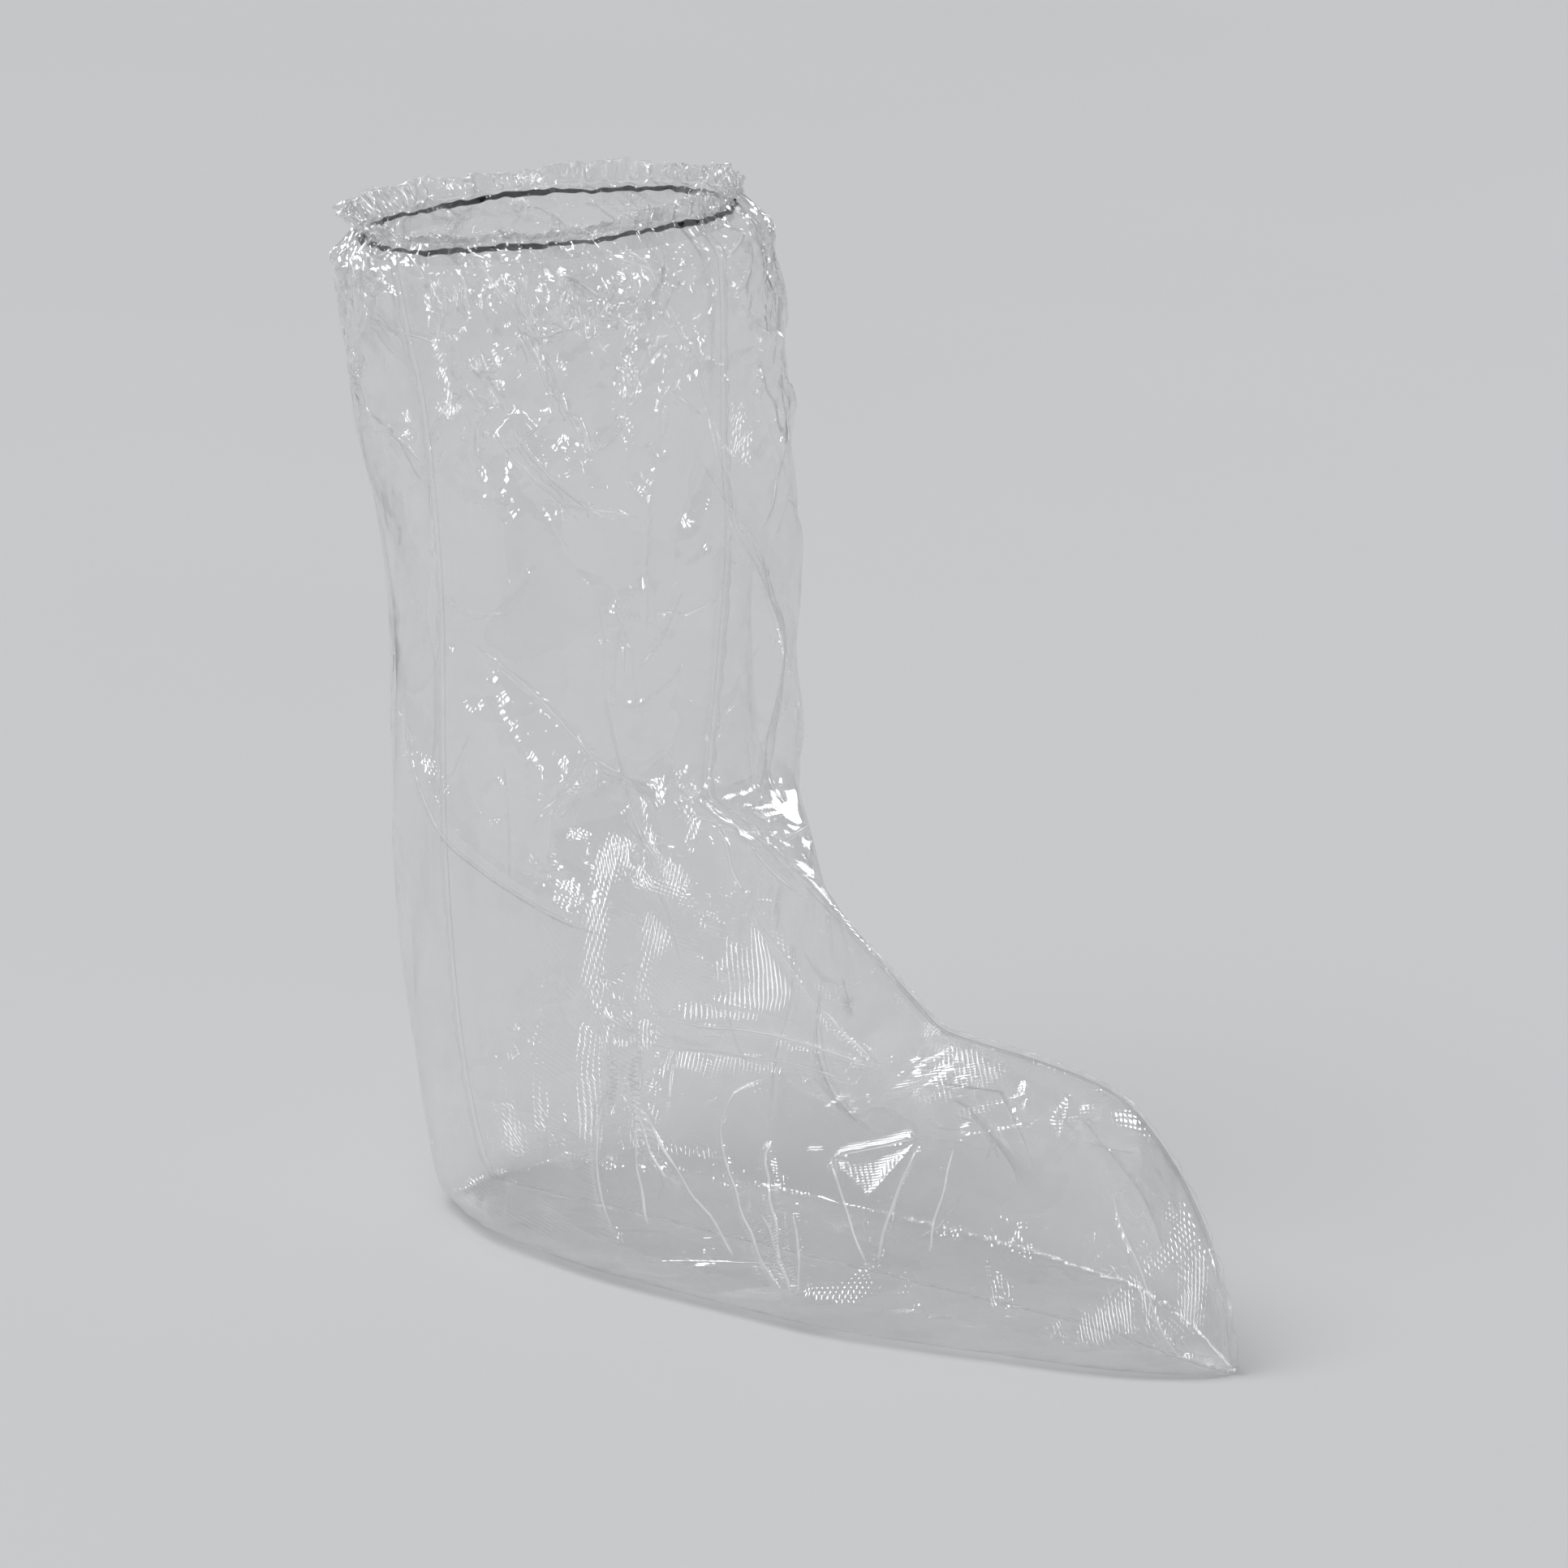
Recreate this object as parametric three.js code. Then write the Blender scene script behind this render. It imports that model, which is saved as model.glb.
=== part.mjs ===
// Disposable overboot of clear film, in its worn form: a boot-shaped bag of two film panels welded round
// their edge, gathered on a thin elastic at the hem. Millimetres, +X to the toe, +Y to the wearer's
// left, +Z up. The tables count heights from the ground, and the group moves the origin to the hem's middle.
import * as THREE from "three";

// ---- Driving dimensions ----
const WALL = 1; // film walls, far thicker than real film
const GAP = 0.3; // between touching pieces
const WELD_THICK = 1.2; // two layers fused flat
const SEAM_HALF = WELD_THICK / 2 + GAP; // from the middle plane to a panel's edge
const WELD_FIN = 3; // a weld outside the panels
const SOLE_FIN = 3; // the sole's weld, turned inwards
const ELASTIC_RADIUS = 0.8;
const ELASTIC_DROP = 3; // elastic's middle below the hem's top
const RUFFLE_HEIGHT = 8;
const RUFFLE_FLARE = 3.5;
const RUFFLE_LEAN = { turn: 0.76 * Math.PI, flare: 2, height: 1.5 }; // the ruffle opens most at the back right
const RUFFLE_SKIRT = 8; // the turned-in film that closes the casing, below the hem's top
const HEM_MIDDLE = new THREE.Vector3(-37, 0, 357.5); // middle of the elastic, above the ground

// Sections of the bag from hem to toe. Each runs from the front seam, at frontX and frontZ, to the back or
// sole seam, at backX and backZ, all from the ground below the ankle's middle. The panels' widest line is
// at `widest` of the way from back to front, moved by `lean` backwards on the right panel and forwards on
// the left one. A power of 2 is an ellipse, a lower one is more pointed, a higher one squarer. `rows` is
// the number of mesh rows to the next section.
const SECTION_COLUMNS = ["name", "frontX", "frontZ", "backX", "backZ", "rightWidth", "leftWidth", "widest",
  "lean", "frontPower", "backPower", "rows"];
const SECTION_ROWS = [
  ["hem", 31, 368.5, -105, 352.5, 68, 68, 0.5, 0, 2, 2, 3],
  ["hem_bulge", 43, 353, -111, 341, 78, 78, 0.5, 0, 2, 2, 3],
  ["calf", 44, 323, -105, 313, 72, 80, 0.5, 0.02, 2.1, 2, 3],
  ["shin", 44, 292, -97, 284, 67, 77, 0.5, 0.05, 2.2, 2, 3],
  ["mid_leg", 46, 260, -92, 252, 66, 75, 0.5, 0.06, 2.3, 2, 3],
  ["low_leg", 42, 210, -88, 196, 66, 79, 0.5, 0.06, 2.4, 2, 3],
  ["ankle", 37, 163, -88, 138, 71, 80, 0.54, 0.03, 2.8, 2.1, 3],
  ["above_heel", 62, 148, -85, 86, 66, 70, 0.54, 0, 2, 2.2, 3],
  ["low_heel", 88, 132, -76, 28, 59, 55, 0.48, 0, 1.6, 2.5, 2],
  ["heel", 112, 116, -62, 0, 56, 50, 0.38, 0, 1.4, 3, 2],
  ["arch", 131, 103, -15, 0, 66, 51, 0.22, 0, 1.25, 5, 2],
  ["instep", 146, 94, 50, 0, 73, 53, 0.16, 0, 1.2, 6, 3],
  ["ball", 188, 91, 128, 0, 73, 52, 0.15, 0, 1.2, 6, 3],
  ["toe_cap", 224, 86, 185, 0, 63, 44, 0.15, 0, 1.2, 6, 2],
  ["toe_front", 256, 67, 232, 0, 46, 30, 0.16, 0, 1.2, 5, 2],
  ["toe_low", 276, 38, 263, 0, 26, 15, 0.18, 0, 1.3, 4, 2],
  ["near_tip", 282, 17, 277, 0, 13, 7, 0.3, 0, 1.6, 3, 2],
  ["tip_end", 283.5, 7, 282, 0, 6, 4, 0.4, 0, 1.8, 2.5, 1],
  ["tip", 284, 2, 284, 0, 1.2, 1.2, 0.5, 0, 2, 2, 0],
];

// The loose tip swings to the wearer's right: how far, and between which distances along the foot.
const TIP_SWING = { reach: -12, from: 200, to: 284 };

// Gathers under the elastic: their number on a panel, their depth, and where they start, peak and end.
const GATHERS = { perPanel: 7, depth: 2.2, peak: 0.03, end: 0.13 };

// Folds and dents. Places are fractions: `along` from hem to tip, `around` from the front seam to the back
// or sole seam. Depth is in millimetres outwards, and width is the half-width of the fold.
const FOLD_COLUMNS = ["panel", "name", "along0", "around0", "along1", "around1", "depth", "width"];
const FOLD_ROWS = [
  ["right", "hem_crease", 0.03, 0.3, 0.12, 0.25, -4.5, 9],
  ["right", "back_crumple", 0.09, 0.7, 0.13, 0.53, 5, 10],
  ["right", "shin_facet", 0.1, 0.38, 0.16, 0.22, 5, 10],
  ["right", "upper_leg_fold", 0.23, 0.47, 0.34, 0.08, -6.5, 15],
  ["right", "lower_leg_fold", 0.26, 0.64, 0.45, 0.28, 6.5, 15],
  ["right", "ankle_crease", 0.38, 0.06, 0.46, 0.12, -5, 9],
  ["right", "arch_pleat", 0.47, 0.34, 0.64, 0.58, 8, 10],
  ["right", "arch_valley", 0.51, 0.28, 0.66, 0.5, -6.5, 11],
  ["right", "lace_band", 0.5, 0.3, 0.65, 0.11, 4.5, 9],
  ["right", "spindle_fold", 0.65, 0.31, 0.74, 0.56, 6.5, 10],
  ["right", "toe_dent", 0.72, 0.25, 0.79, 0.48, -4.5, 13],
  ["left", "shin_flap", 0.17, 0.06, 0.36, 0.18, -6.5, 12],
  ["left", "leg_fold", 0.2, 0.5, 0.36, 0.32, 6.5, 15],
  ["left", "calf_crumple", 0.07, 0.3, 0.13, 0.5, 5, 11],
  ["left", "arch_pleat", 0.49, 0.34, 0.6, 0.66, 6.5, 11],
  ["left", "arch_valley", 0.52, 0.26, 0.64, 0.5, -6.5, 11],
  ["left", "ball_fold", 0.68, 0.3, 0.75, 0.55, 5, 10],
];

const SOLE_CALM = 14; // folds fade out below this height, so that the sole lies flat
const AROUND_STEPS = 20; // mesh columns on a panel
const LAST_PANEL_SECTION = "tip_end"; // the panels stop here, and the tip itself is all weld
const RING_STEPS = 60; // mesh columns round the elastic and the ruffle

// ---- Tables ----
const named = (columns, rows) =>
  rows.map((row) => Object.fromEntries(columns.map((column, i) => [column, row[i]])));
const SECTIONS = named(SECTION_COLUMNS, SECTION_ROWS);
const FOLDS = named(FOLD_COLUMNS, FOLD_ROWS);

// Each section's place from 0 at the hem to 1 at the tip, by the mean of the two seams' lengths.
const steps = SECTIONS.slice(1).map((next, i) => {
  const here = SECTIONS[i];
  return Math.hypot(next.frontX - here.frontX, next.frontZ - here.frontZ) +
    Math.hypot(next.backX - here.backX, next.backZ - here.backZ);
});
const wholeLength = steps.reduce((sum, step) => sum + step, 0);
const KNOTS = [0];
for (const step of steps) KNOTS.push(KNOTS.at(-1) + step / wholeLength);
const knotOf = (name) => KNOTS[SECTIONS.findIndex((section) => section.name === name)];

// A smooth curve through a table column, with no overshoot (monotone cubic).
function curveThrough(column) {
  const values = SECTIONS.map((section) => section[column]);
  const spans = KNOTS.slice(1).map((knot, i) => knot - KNOTS[i]);
  const slopes = spans.map((span, i) => (values[i + 1] - values[i]) / span);
  const tangents = values.map((_, i) => {
    if (i === 0) return slopes[0];
    if (i === values.length - 1) return slopes.at(-1);
    if (slopes[i - 1] * slopes[i] <= 0) return 0;
    const before = 2 * spans[i] + spans[i - 1];
    const after = spans[i] + 2 * spans[i - 1];
    return (before + after) / (before / slopes[i - 1] + after / slopes[i]);
  });
  return (along) => {
    let i = KNOTS.findIndex((knot) => knot >= along) - 1;
    i = Math.min(Math.max(i, 0), spans.length - 1);
    const t = (along - KNOTS[i]) / spans[i];
    return values[i] * (2 * t ** 3 - 3 * t ** 2 + 1) + spans[i] * tangents[i] * (t ** 3 - 2 * t ** 2 + t) +
      values[i + 1] * (3 * t ** 2 - 2 * t ** 3) + spans[i] * tangents[i + 1] * (t ** 3 - t ** 2);
  };
}
const CURVES = Object.fromEntries(
  SECTION_COLUMNS.slice(1, -1).map((column) => [column, curveThrough(column)]));
const sectionAt = (along) =>
  Object.fromEntries(Object.entries(CURVES).map(([column, curve]) => [column, curve(along)]));

const smoothStep = (from, to, value) => THREE.MathUtils.smoothstep(value, from, to);
const swing = (point) =>
  point.setY(point.y + TIP_SWING.reach * smoothStep(TIP_SWING.from, TIP_SWING.to, point.x));

// Places of the mesh rows, from the hem to the end of the panels.
const PANEL_PLACES = SECTIONS.flatMap((section, i) =>
  Array.from({ length: section.rows }, (_, row) =>
    KNOTS[i] + ((KNOTS[i + 1] - KNOTS[i]) * row) / section.rows),
).filter((place) => place <= knotOf(LAST_PANEL_SECTION));

// ---- The bag's surface ----
const OUTLINE_STEPS = 60; // points on each half of a section before they are spaced evenly

// Points of one section on one panel, evenly spaced from the front seam to the back or sole seam.
function sectionPoints(along, side, count) {
  const s = sectionAt(along);
  const halfWidth = side < 0 ? s.rightWidth : s.leftWidth;
  const widest = s.widest + side * s.lean;
  const point = (share, width) => new THREE.Vector3(
    s.backX + (s.frontX - s.backX) * share,
    side * (SEAM_HALF + width * (halfWidth - SEAM_HALF)),
    s.backZ + (s.frontZ - s.backZ) * share);
  const points = [];
  for (let i = 0; i <= OUTLINE_STEPS; i++) {
    const turn = (Math.PI / 2) * (i / OUTLINE_STEPS);
    const share = widest + (1 - widest) * Math.max(Math.cos(turn), 0) ** (2 / s.frontPower);
    points.push(point(share, Math.sin(turn) ** (2 / s.frontPower)));
  }
  for (let i = 1; i <= OUTLINE_STEPS; i++) {
    const turn = (Math.PI / 2) * (i / OUTLINE_STEPS);
    const share = widest - widest * Math.sin(turn) ** (2 / s.backPower);
    points.push(point(share, Math.max(Math.cos(turn), 0) ** (2 / s.backPower)));
  }
  const lengths = [0];
  for (let i = 1; i < points.length; i++) lengths.push(lengths.at(-1) + points[i].distanceTo(points[i - 1]));
  return Array.from({ length: count + 1 }, (_, k) => {
    if (k === 0) return points[0].clone();
    if (k === count) return points.at(-1).clone();
    const target = (lengths.at(-1) * k) / count;
    const i = lengths.findIndex((length) => length > target);
    const part = (target - lengths[i - 1]) / (lengths[i] - lengths[i - 1]);
    return points[i - 1].clone().lerp(points[i], part);
  });
}

// Outward push of the folds and gathers at one place. A fold is deepest at its middle and on its line.
function relief(along, around, place, folds) {
  let push = 0;
  for (const fold of folds) {
    const share = fold.line.closestPointToPointParameter(place, true);
    const distance = fold.line.at(share, new THREE.Vector3()).distanceTo(place);
    const fade = 0.3 + 0.7 * Math.sin(Math.PI * share);
    push += fold.depth * fade * Math.max(1 - distance / fold.width, 0) ** 1.3;
  }
  const grow = smoothStep(0, GATHERS.peak, along) * (1 - smoothStep(GATHERS.peak, GATHERS.end, along));
  const wave = Math.cos(2 * Math.PI * GATHERS.perPanel * around);
  return push + GATHERS.depth * grow * wave;
}

// The outer surface of one panel as rows of points, with its outward normals.
function panelSurface(side) {
  const name = side < 0 ? "right" : "left";
  const places = PANEL_PLACES;
  const rows = places.map((along) => sectionPoints(along, side, AROUND_STEPS));
  const normals = rowNormals(rows, side);
  const pointAt = (along, around) => {
    const points = sectionPoints(along, side, AROUND_STEPS);
    return points[Math.round(around * AROUND_STEPS)];
  };
  const folds = FOLDS.filter((fold) => fold.panel === name).map((fold) => ({
    ...fold,
    line: new THREE.Line3(pointAt(fold.along0, fold.around0), pointAt(fold.along1, fold.around1)),
  }));
  rows.forEach((row, i) => row.forEach((point, k) => {
    const around = k / AROUND_STEPS;
    const offSeams = smoothStep(0, 0.06, around) * (1 - smoothStep(0.94, 1, around));
    const offGround = smoothStep(0, SOLE_CALM, point.z);
    const push = relief(places[i], around, point, folds);
    point.addScaledVector(normals[i][k], push * offSeams * offGround);
    point.z = Math.max(point.z, 0);
  }));
  return { rows, normals: rowNormals(rows, side) };
}

function rowNormals(rows, side) {
  return rows.map((row, i) => row.map((point, k) => {
    const down = rows[Math.min(i + 1, rows.length - 1)][k].clone().sub(rows[Math.max(i - 1, 0)][k]);
    const around = row[Math.min(k + 1, row.length - 1)].clone().sub(row[Math.max(k - 1, 0)]);
    const normal = down.cross(around).multiplyScalar(side);
    if (k === 0 || k === row.length - 1) normal.y = 0; // a seam lies in the middle plane
    return normal.normalize();
  }));
}

// ---- Mesh helpers ----
// A closed solid from a grid of rings: each row is one ring of corner points, open ended or closed on itself.
function solidFromRings(rings, closed, flip) {
  const size = rings[0].length;
  const count = rings.length;
  const positions = rings.flat().flatMap((point) => [point.x, point.y, point.z]);
  const faces = [];
  const quad = (a, b, c, d) => faces.push(a, b, c, a, c, d);
  const loops = closed ? count : count - 1;
  for (let i = 0; i < loops; i++)
    for (let k = 0; k < size; k++) {
      const next = (i + 1) % count;
      quad(i * size + k, i * size + ((k + 1) % size), next * size + ((k + 1) % size), next * size + k);
    }
  if (!closed) {
    const end = (count - 1) * size;
    for (let k = 1; k < size / 2; k++) {
      quad(k - 1, size - k, size - 1 - k, k);
      quad(end + k - 1, end + k, end + size - 1 - k, end + size - k);
    }
  }
  if (flip) for (let i = 0; i < faces.length; i += 3) [faces[i], faces[i + 1]] = [faces[i + 1], faces[i]];
  const geometry = new THREE.BufferGeometry();
  geometry.setAttribute("position", new THREE.Float32BufferAttribute(positions, 3));
  geometry.setIndex(faces);
  geometry.computeVertexNormals();
  return geometry;
}

// ---- Materials ----
const clearFilm = new THREE.MeshStandardMaterial({
  color: 0xf2f4f5, roughness: 0.18, metalness: 0, transparent: true, opacity: 0.3, side: THREE.DoubleSide });
const weldedFilm = new THREE.MeshStandardMaterial({
  color: 0xe9ecee, roughness: 0.3, metalness: 0, transparent: true, opacity: 0.5, side: THREE.DoubleSide });
const blackElastic = new THREE.MeshStandardMaterial({ color: 0x141416, roughness: 0.75, metalness: 0 });

function addMesh(group, name, geometry, material) {
  const mesh = new THREE.Mesh(geometry, material);
  mesh.name = name;
  group.add(mesh);
}

// ---- Pieces ----
// One film panel: its outer surface, and the same surface WALL further in.
function panel(side) {
  const { rows, normals } = panelSurface(side);
  const rings = rows.map((row, i) => {
    const inner = row.map((point, k) => {
      const inside = point.clone().addScaledVector(normals[i][k], -WALL);
      inside.y = side * Math.max(side * inside.y, SEAM_HALF);
      inside.z = Math.max(inside.z, WALL);
      return inside;
    });
    return [...row, ...inner.reverse()].map(swing);
  });
  return solidFromRings(rings, false, side > 0);
}

// A weld: a flat strip in the middle plane along one seam, from `inwards` to `outwards` of it. Its mesh rows
// are the panels' own, so that it stays beside their edges where the tip swings.
function weld(seam, from, to, inwards, outwards) {
  const at = (along) => {
    const s = sectionAt(along);
    return seam === "front" ? new THREE.Vector3(s.frontX, 0, s.frontZ) : new THREE.Vector3(s.backX, 0, s.backZ);
  };
  const places = [from, ...PANEL_PLACES.filter((place) => place > from && place < to), to];
  const rings = places.map((along, i) => {
    const before = at(places[Math.max(i - 1, 0)]);
    const run = at(places[Math.min(i + 1, places.length - 1)]).sub(before).normalize();
    const out = new THREE.Vector3(-run.z, 0, run.x).multiplyScalar(seam === "front" ? 1 : -1);
    const corner = (reach, across) => at(along).addScaledVector(out, reach).setY(across * WELD_THICK / 2);
    return [corner(-inwards, -1), corner(outwards, -1), corner(outwards, 1), corner(-inwards, 1)].map(swing);
  });
  return solidFromRings(rings, false, seam === "front");
}

// Points round the hem's top edge on the panels' outer surface, with the way out and the way up there.
function hemRing() {
  const right = sectionPoints(0, -1, RING_STEPS / 2);
  const left = sectionPoints(0, 1, RING_STEPS / 2);
  const ring = [...right.slice(0, -1), ...left.reverse().slice(0, -1)];
  const up = hemUp();
  return ring.map((point, i) => {
    const run = ring[(i + 1) % ring.length].clone().sub(ring[(i - 1 + ring.length) % ring.length]);
    return { point, out: run.cross(up).multiplyScalar(-1).normalize(), up };
  });
}

function hemUp() {
  const s = sectionAt(0);
  return new THREE.Vector3(s.backZ - s.frontZ, 0, s.frontX - s.backX).normalize();
}

// A ring round the hem whose section is drawn by profile(turn) as [out, up] pairs.
function hemSweep(profile) {
  const rings = hemRing().map(({ point, out, up }, i) =>
    profile((2 * Math.PI * i) / RING_STEPS).map(([reach, rise]) =>
      point.clone().addScaledVector(out, reach).addScaledVector(up, rise)));
  return solidFromRings(rings, true, false);
}

function elastic() {
  const middle = -(WALL + GAP + ELASTIC_RADIUS);
  const sides = 5;
  return hemSweep(() => Array.from({ length: sides }, (_, k) => {
    const turn = (2 * Math.PI * k) / sides;
    return [middle + ELASTIC_RADIUS * Math.cos(turn), -ELASTIC_DROP + ELASTIC_RADIUS * Math.sin(turn)];
  }));
}

// The ruffle: film turned in over the elastic, with the gathered crest standing above it.
function ruffle() {
  const skirtOut = -(WALL + 2 * GAP + 2 * ELASTIC_RADIUS);
  const crestWaves = 18;
  return hemSweep((turn) => {
    const wave = Math.sin(crestWaves * turn) + 0.5 * Math.sin(7 * turn + 1);
    const lean = Math.cos(turn - RUFFLE_LEAN.turn);
    const flare = RUFFLE_FLARE + RUFFLE_LEAN.flare * lean + 0.9 * wave;
    const crest = RUFFLE_HEIGHT + RUFFLE_LEAN.height * lean + 0.5 * wave;
    return [
      [skirtOut - WALL, -RUFFLE_SKIRT], [skirtOut, -RUFFLE_SKIRT], [skirtOut, GAP], [0, GAP],
      [flare, crest], [flare - WALL, crest], [-WALL - GAP, GAP + WALL * 1.2], [skirtOut - WALL, GAP + WALL],
    ];
  });
}

// ---- Assembly ----
const heel = knotOf("heel"); // the back weld ends here, and the sole weld starts
const split = (6 * GAP) / wholeLength; // half of the gap between them, as a share of the whole length
const overboot = new THREE.Group();
addMesh(overboot, "right_panel", panel(-1), clearFilm);
addMesh(overboot, "left_panel", panel(1), clearFilm);
addMesh(overboot, "front_weld", weld("front", 0, 1, WALL, WELD_FIN), weldedFilm);
addMesh(overboot, "back_weld", weld("back", 0, heel - split, WALL, WELD_FIN), weldedFilm);
addMesh(overboot, "sole_weld", weld("back", heel + split, knotOf("near_tip"), SOLE_FIN, 0), weldedFilm);
addMesh(overboot, "hem_elastic", elastic(), blackElastic);
addMesh(overboot, "hem_ruffle", ruffle(), clearFilm);
overboot.position.copy(HEM_MIDDLE).negate();

export default overboot;
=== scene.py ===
"""A disposable overboot of clear embossed film in its worn form: two film panels welded together round
the edge, and a hem gathered on black elastic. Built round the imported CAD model, in metres."""
import math

import bpy
import numpy as np
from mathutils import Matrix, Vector


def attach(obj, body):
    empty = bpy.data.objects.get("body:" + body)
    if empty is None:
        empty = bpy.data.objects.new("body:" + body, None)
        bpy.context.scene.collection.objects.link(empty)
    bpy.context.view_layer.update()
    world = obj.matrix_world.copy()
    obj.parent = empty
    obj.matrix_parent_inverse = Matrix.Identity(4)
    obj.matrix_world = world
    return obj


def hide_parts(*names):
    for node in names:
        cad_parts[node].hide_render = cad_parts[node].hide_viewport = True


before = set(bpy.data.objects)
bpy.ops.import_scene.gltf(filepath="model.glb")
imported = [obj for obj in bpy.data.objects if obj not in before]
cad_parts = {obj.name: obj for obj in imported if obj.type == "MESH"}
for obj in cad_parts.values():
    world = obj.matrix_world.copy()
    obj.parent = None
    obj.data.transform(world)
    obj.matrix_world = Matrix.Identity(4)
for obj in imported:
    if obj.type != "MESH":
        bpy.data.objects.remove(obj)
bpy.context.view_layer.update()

MM = 0.001
FULL_TURN = 2 * math.pi
RIGHT, LEFT = -1, 1  # the wearer's side that a panel is on, which is also the sign of its Y

# ---- The bag's shape, in millimetres above the ground, with x from below the ankle's middle ----
HEM_MIDDLE = np.array([-37.0, 0.0, 357.5])  # the frame's origin
SEAM_HALF = 0.9  # from the middle plane to a panel's edge
SECTION_ROWS = [
    # front x and z, back x and z, right width, left width, widest, lean, front power, back power
    ("hem", 31, 368.5, -105, 352.5, 68, 68, 0.5, 0, 2, 2),
    ("hem_bulge", 43, 353, -111, 341, 78, 78, 0.5, 0, 2, 2),
    ("calf", 44, 323, -105, 313, 72, 80, 0.5, 0.02, 2.1, 2),
    ("shin", 44, 292, -97, 284, 67, 77, 0.5, 0.05, 2.2, 2),
    ("mid_leg", 46, 260, -92, 252, 66, 75, 0.5, 0.06, 2.3, 2),
    ("low_leg", 42, 210, -88, 196, 66, 79, 0.5, 0.06, 2.4, 2),
    ("ankle", 37, 163, -88, 138, 71, 80, 0.54, 0.03, 2.8, 2.1),
    ("above_heel", 62, 148, -85, 86, 66, 70, 0.54, 0, 2, 2.2),
    ("low_heel", 88, 132, -76, 28, 59, 55, 0.48, 0, 1.6, 2.5),
    ("heel", 112, 116, -62, 0, 56, 50, 0.38, 0, 1.4, 3),
    ("arch", 131, 103, -15, 0, 66, 51, 0.22, 0, 1.25, 5),
    ("instep", 146, 94, 50, 0, 73, 53, 0.16, 0, 1.2, 6),
    ("ball", 188, 91, 128, 0, 73, 52, 0.15, 0, 1.2, 6),
    ("toe_cap", 224, 86, 185, 0, 63, 44, 0.15, 0, 1.2, 6),
    ("toe_front", 256, 67, 232, 0, 46, 30, 0.16, 0, 1.2, 5),
    ("toe_low", 276, 38, 263, 0, 26, 15, 0.18, 0, 1.3, 4),
    ("near_tip", 282, 17, 277, 0, 13, 7, 0.3, 0, 1.6, 3),
    ("tip_end", 283.5, 7, 282, 0, 6, 4, 0.4, 0, 1.8, 2.5),
    ("tip", 284, 2, 284, 0, 1.2, 1.2, 0.5, 0, 2, 2),
]
SECTIONS = np.array([row[1:] for row in SECTION_ROWS], float)
TIP_SWING = {"reach": -12, "from": 200, "to": 284}  # the loose tip swings to the wearer's right
PANEL_ROWS, PANEL_COLUMNS = 490, 178
PANEL_END = 0.9985
OUTLINE_STEPS = 241  # points on each half of a section's outline

# Distances on a panel are in millimetres on its flat pattern. Its places are pairs: along, from 0 at the
# hem to 1 at the tip, and around, from 0 at the front seam to 1 at the back or sole seam.

# Broad folds: along and around at each end, depth outwards, half-width.
BROAD_FOLDS = {
    RIGHT: [
        (0.03, 0.3, 0.12, 0.25, -2.4, 11), (0.09, 0.7, 0.13, 0.53, 3, 11), (0.1, 0.38, 0.16, 0.22, 3, 12),
        (0.23, 0.47, 0.34, 0.08, -4.2, 20), (0.26, 0.64, 0.45, 0.28, 4.6, 22),
        (0.38, 0.06, 0.46, 0.12, -3.2, 12), (0.47, 0.34, 0.64, 0.58, 2.6, 13),
        (0.51, 0.28, 0.66, 0.5, -2.2, 14), (0.5, 0.3, 0.65, 0.11, 1.8, 12),
        (0.65, 0.31, 0.74, 0.56, 2, 13), (0.72, 0.25, 0.79, 0.48, -1.6, 18),
    ],
    LEFT: [
        (0.17, 0.06, 0.36, 0.18, -4, 16), (0.2, 0.5, 0.36, 0.32, 4, 20), (0.07, 0.3, 0.13, 0.5, 3, 13),
        (0.49, 0.34, 0.6, 0.66, 4, 14), (0.52, 0.26, 0.64, 0.5, -3.8, 14), (0.68, 0.3, 0.75, 0.55, 3, 13),
    ],
}
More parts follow.
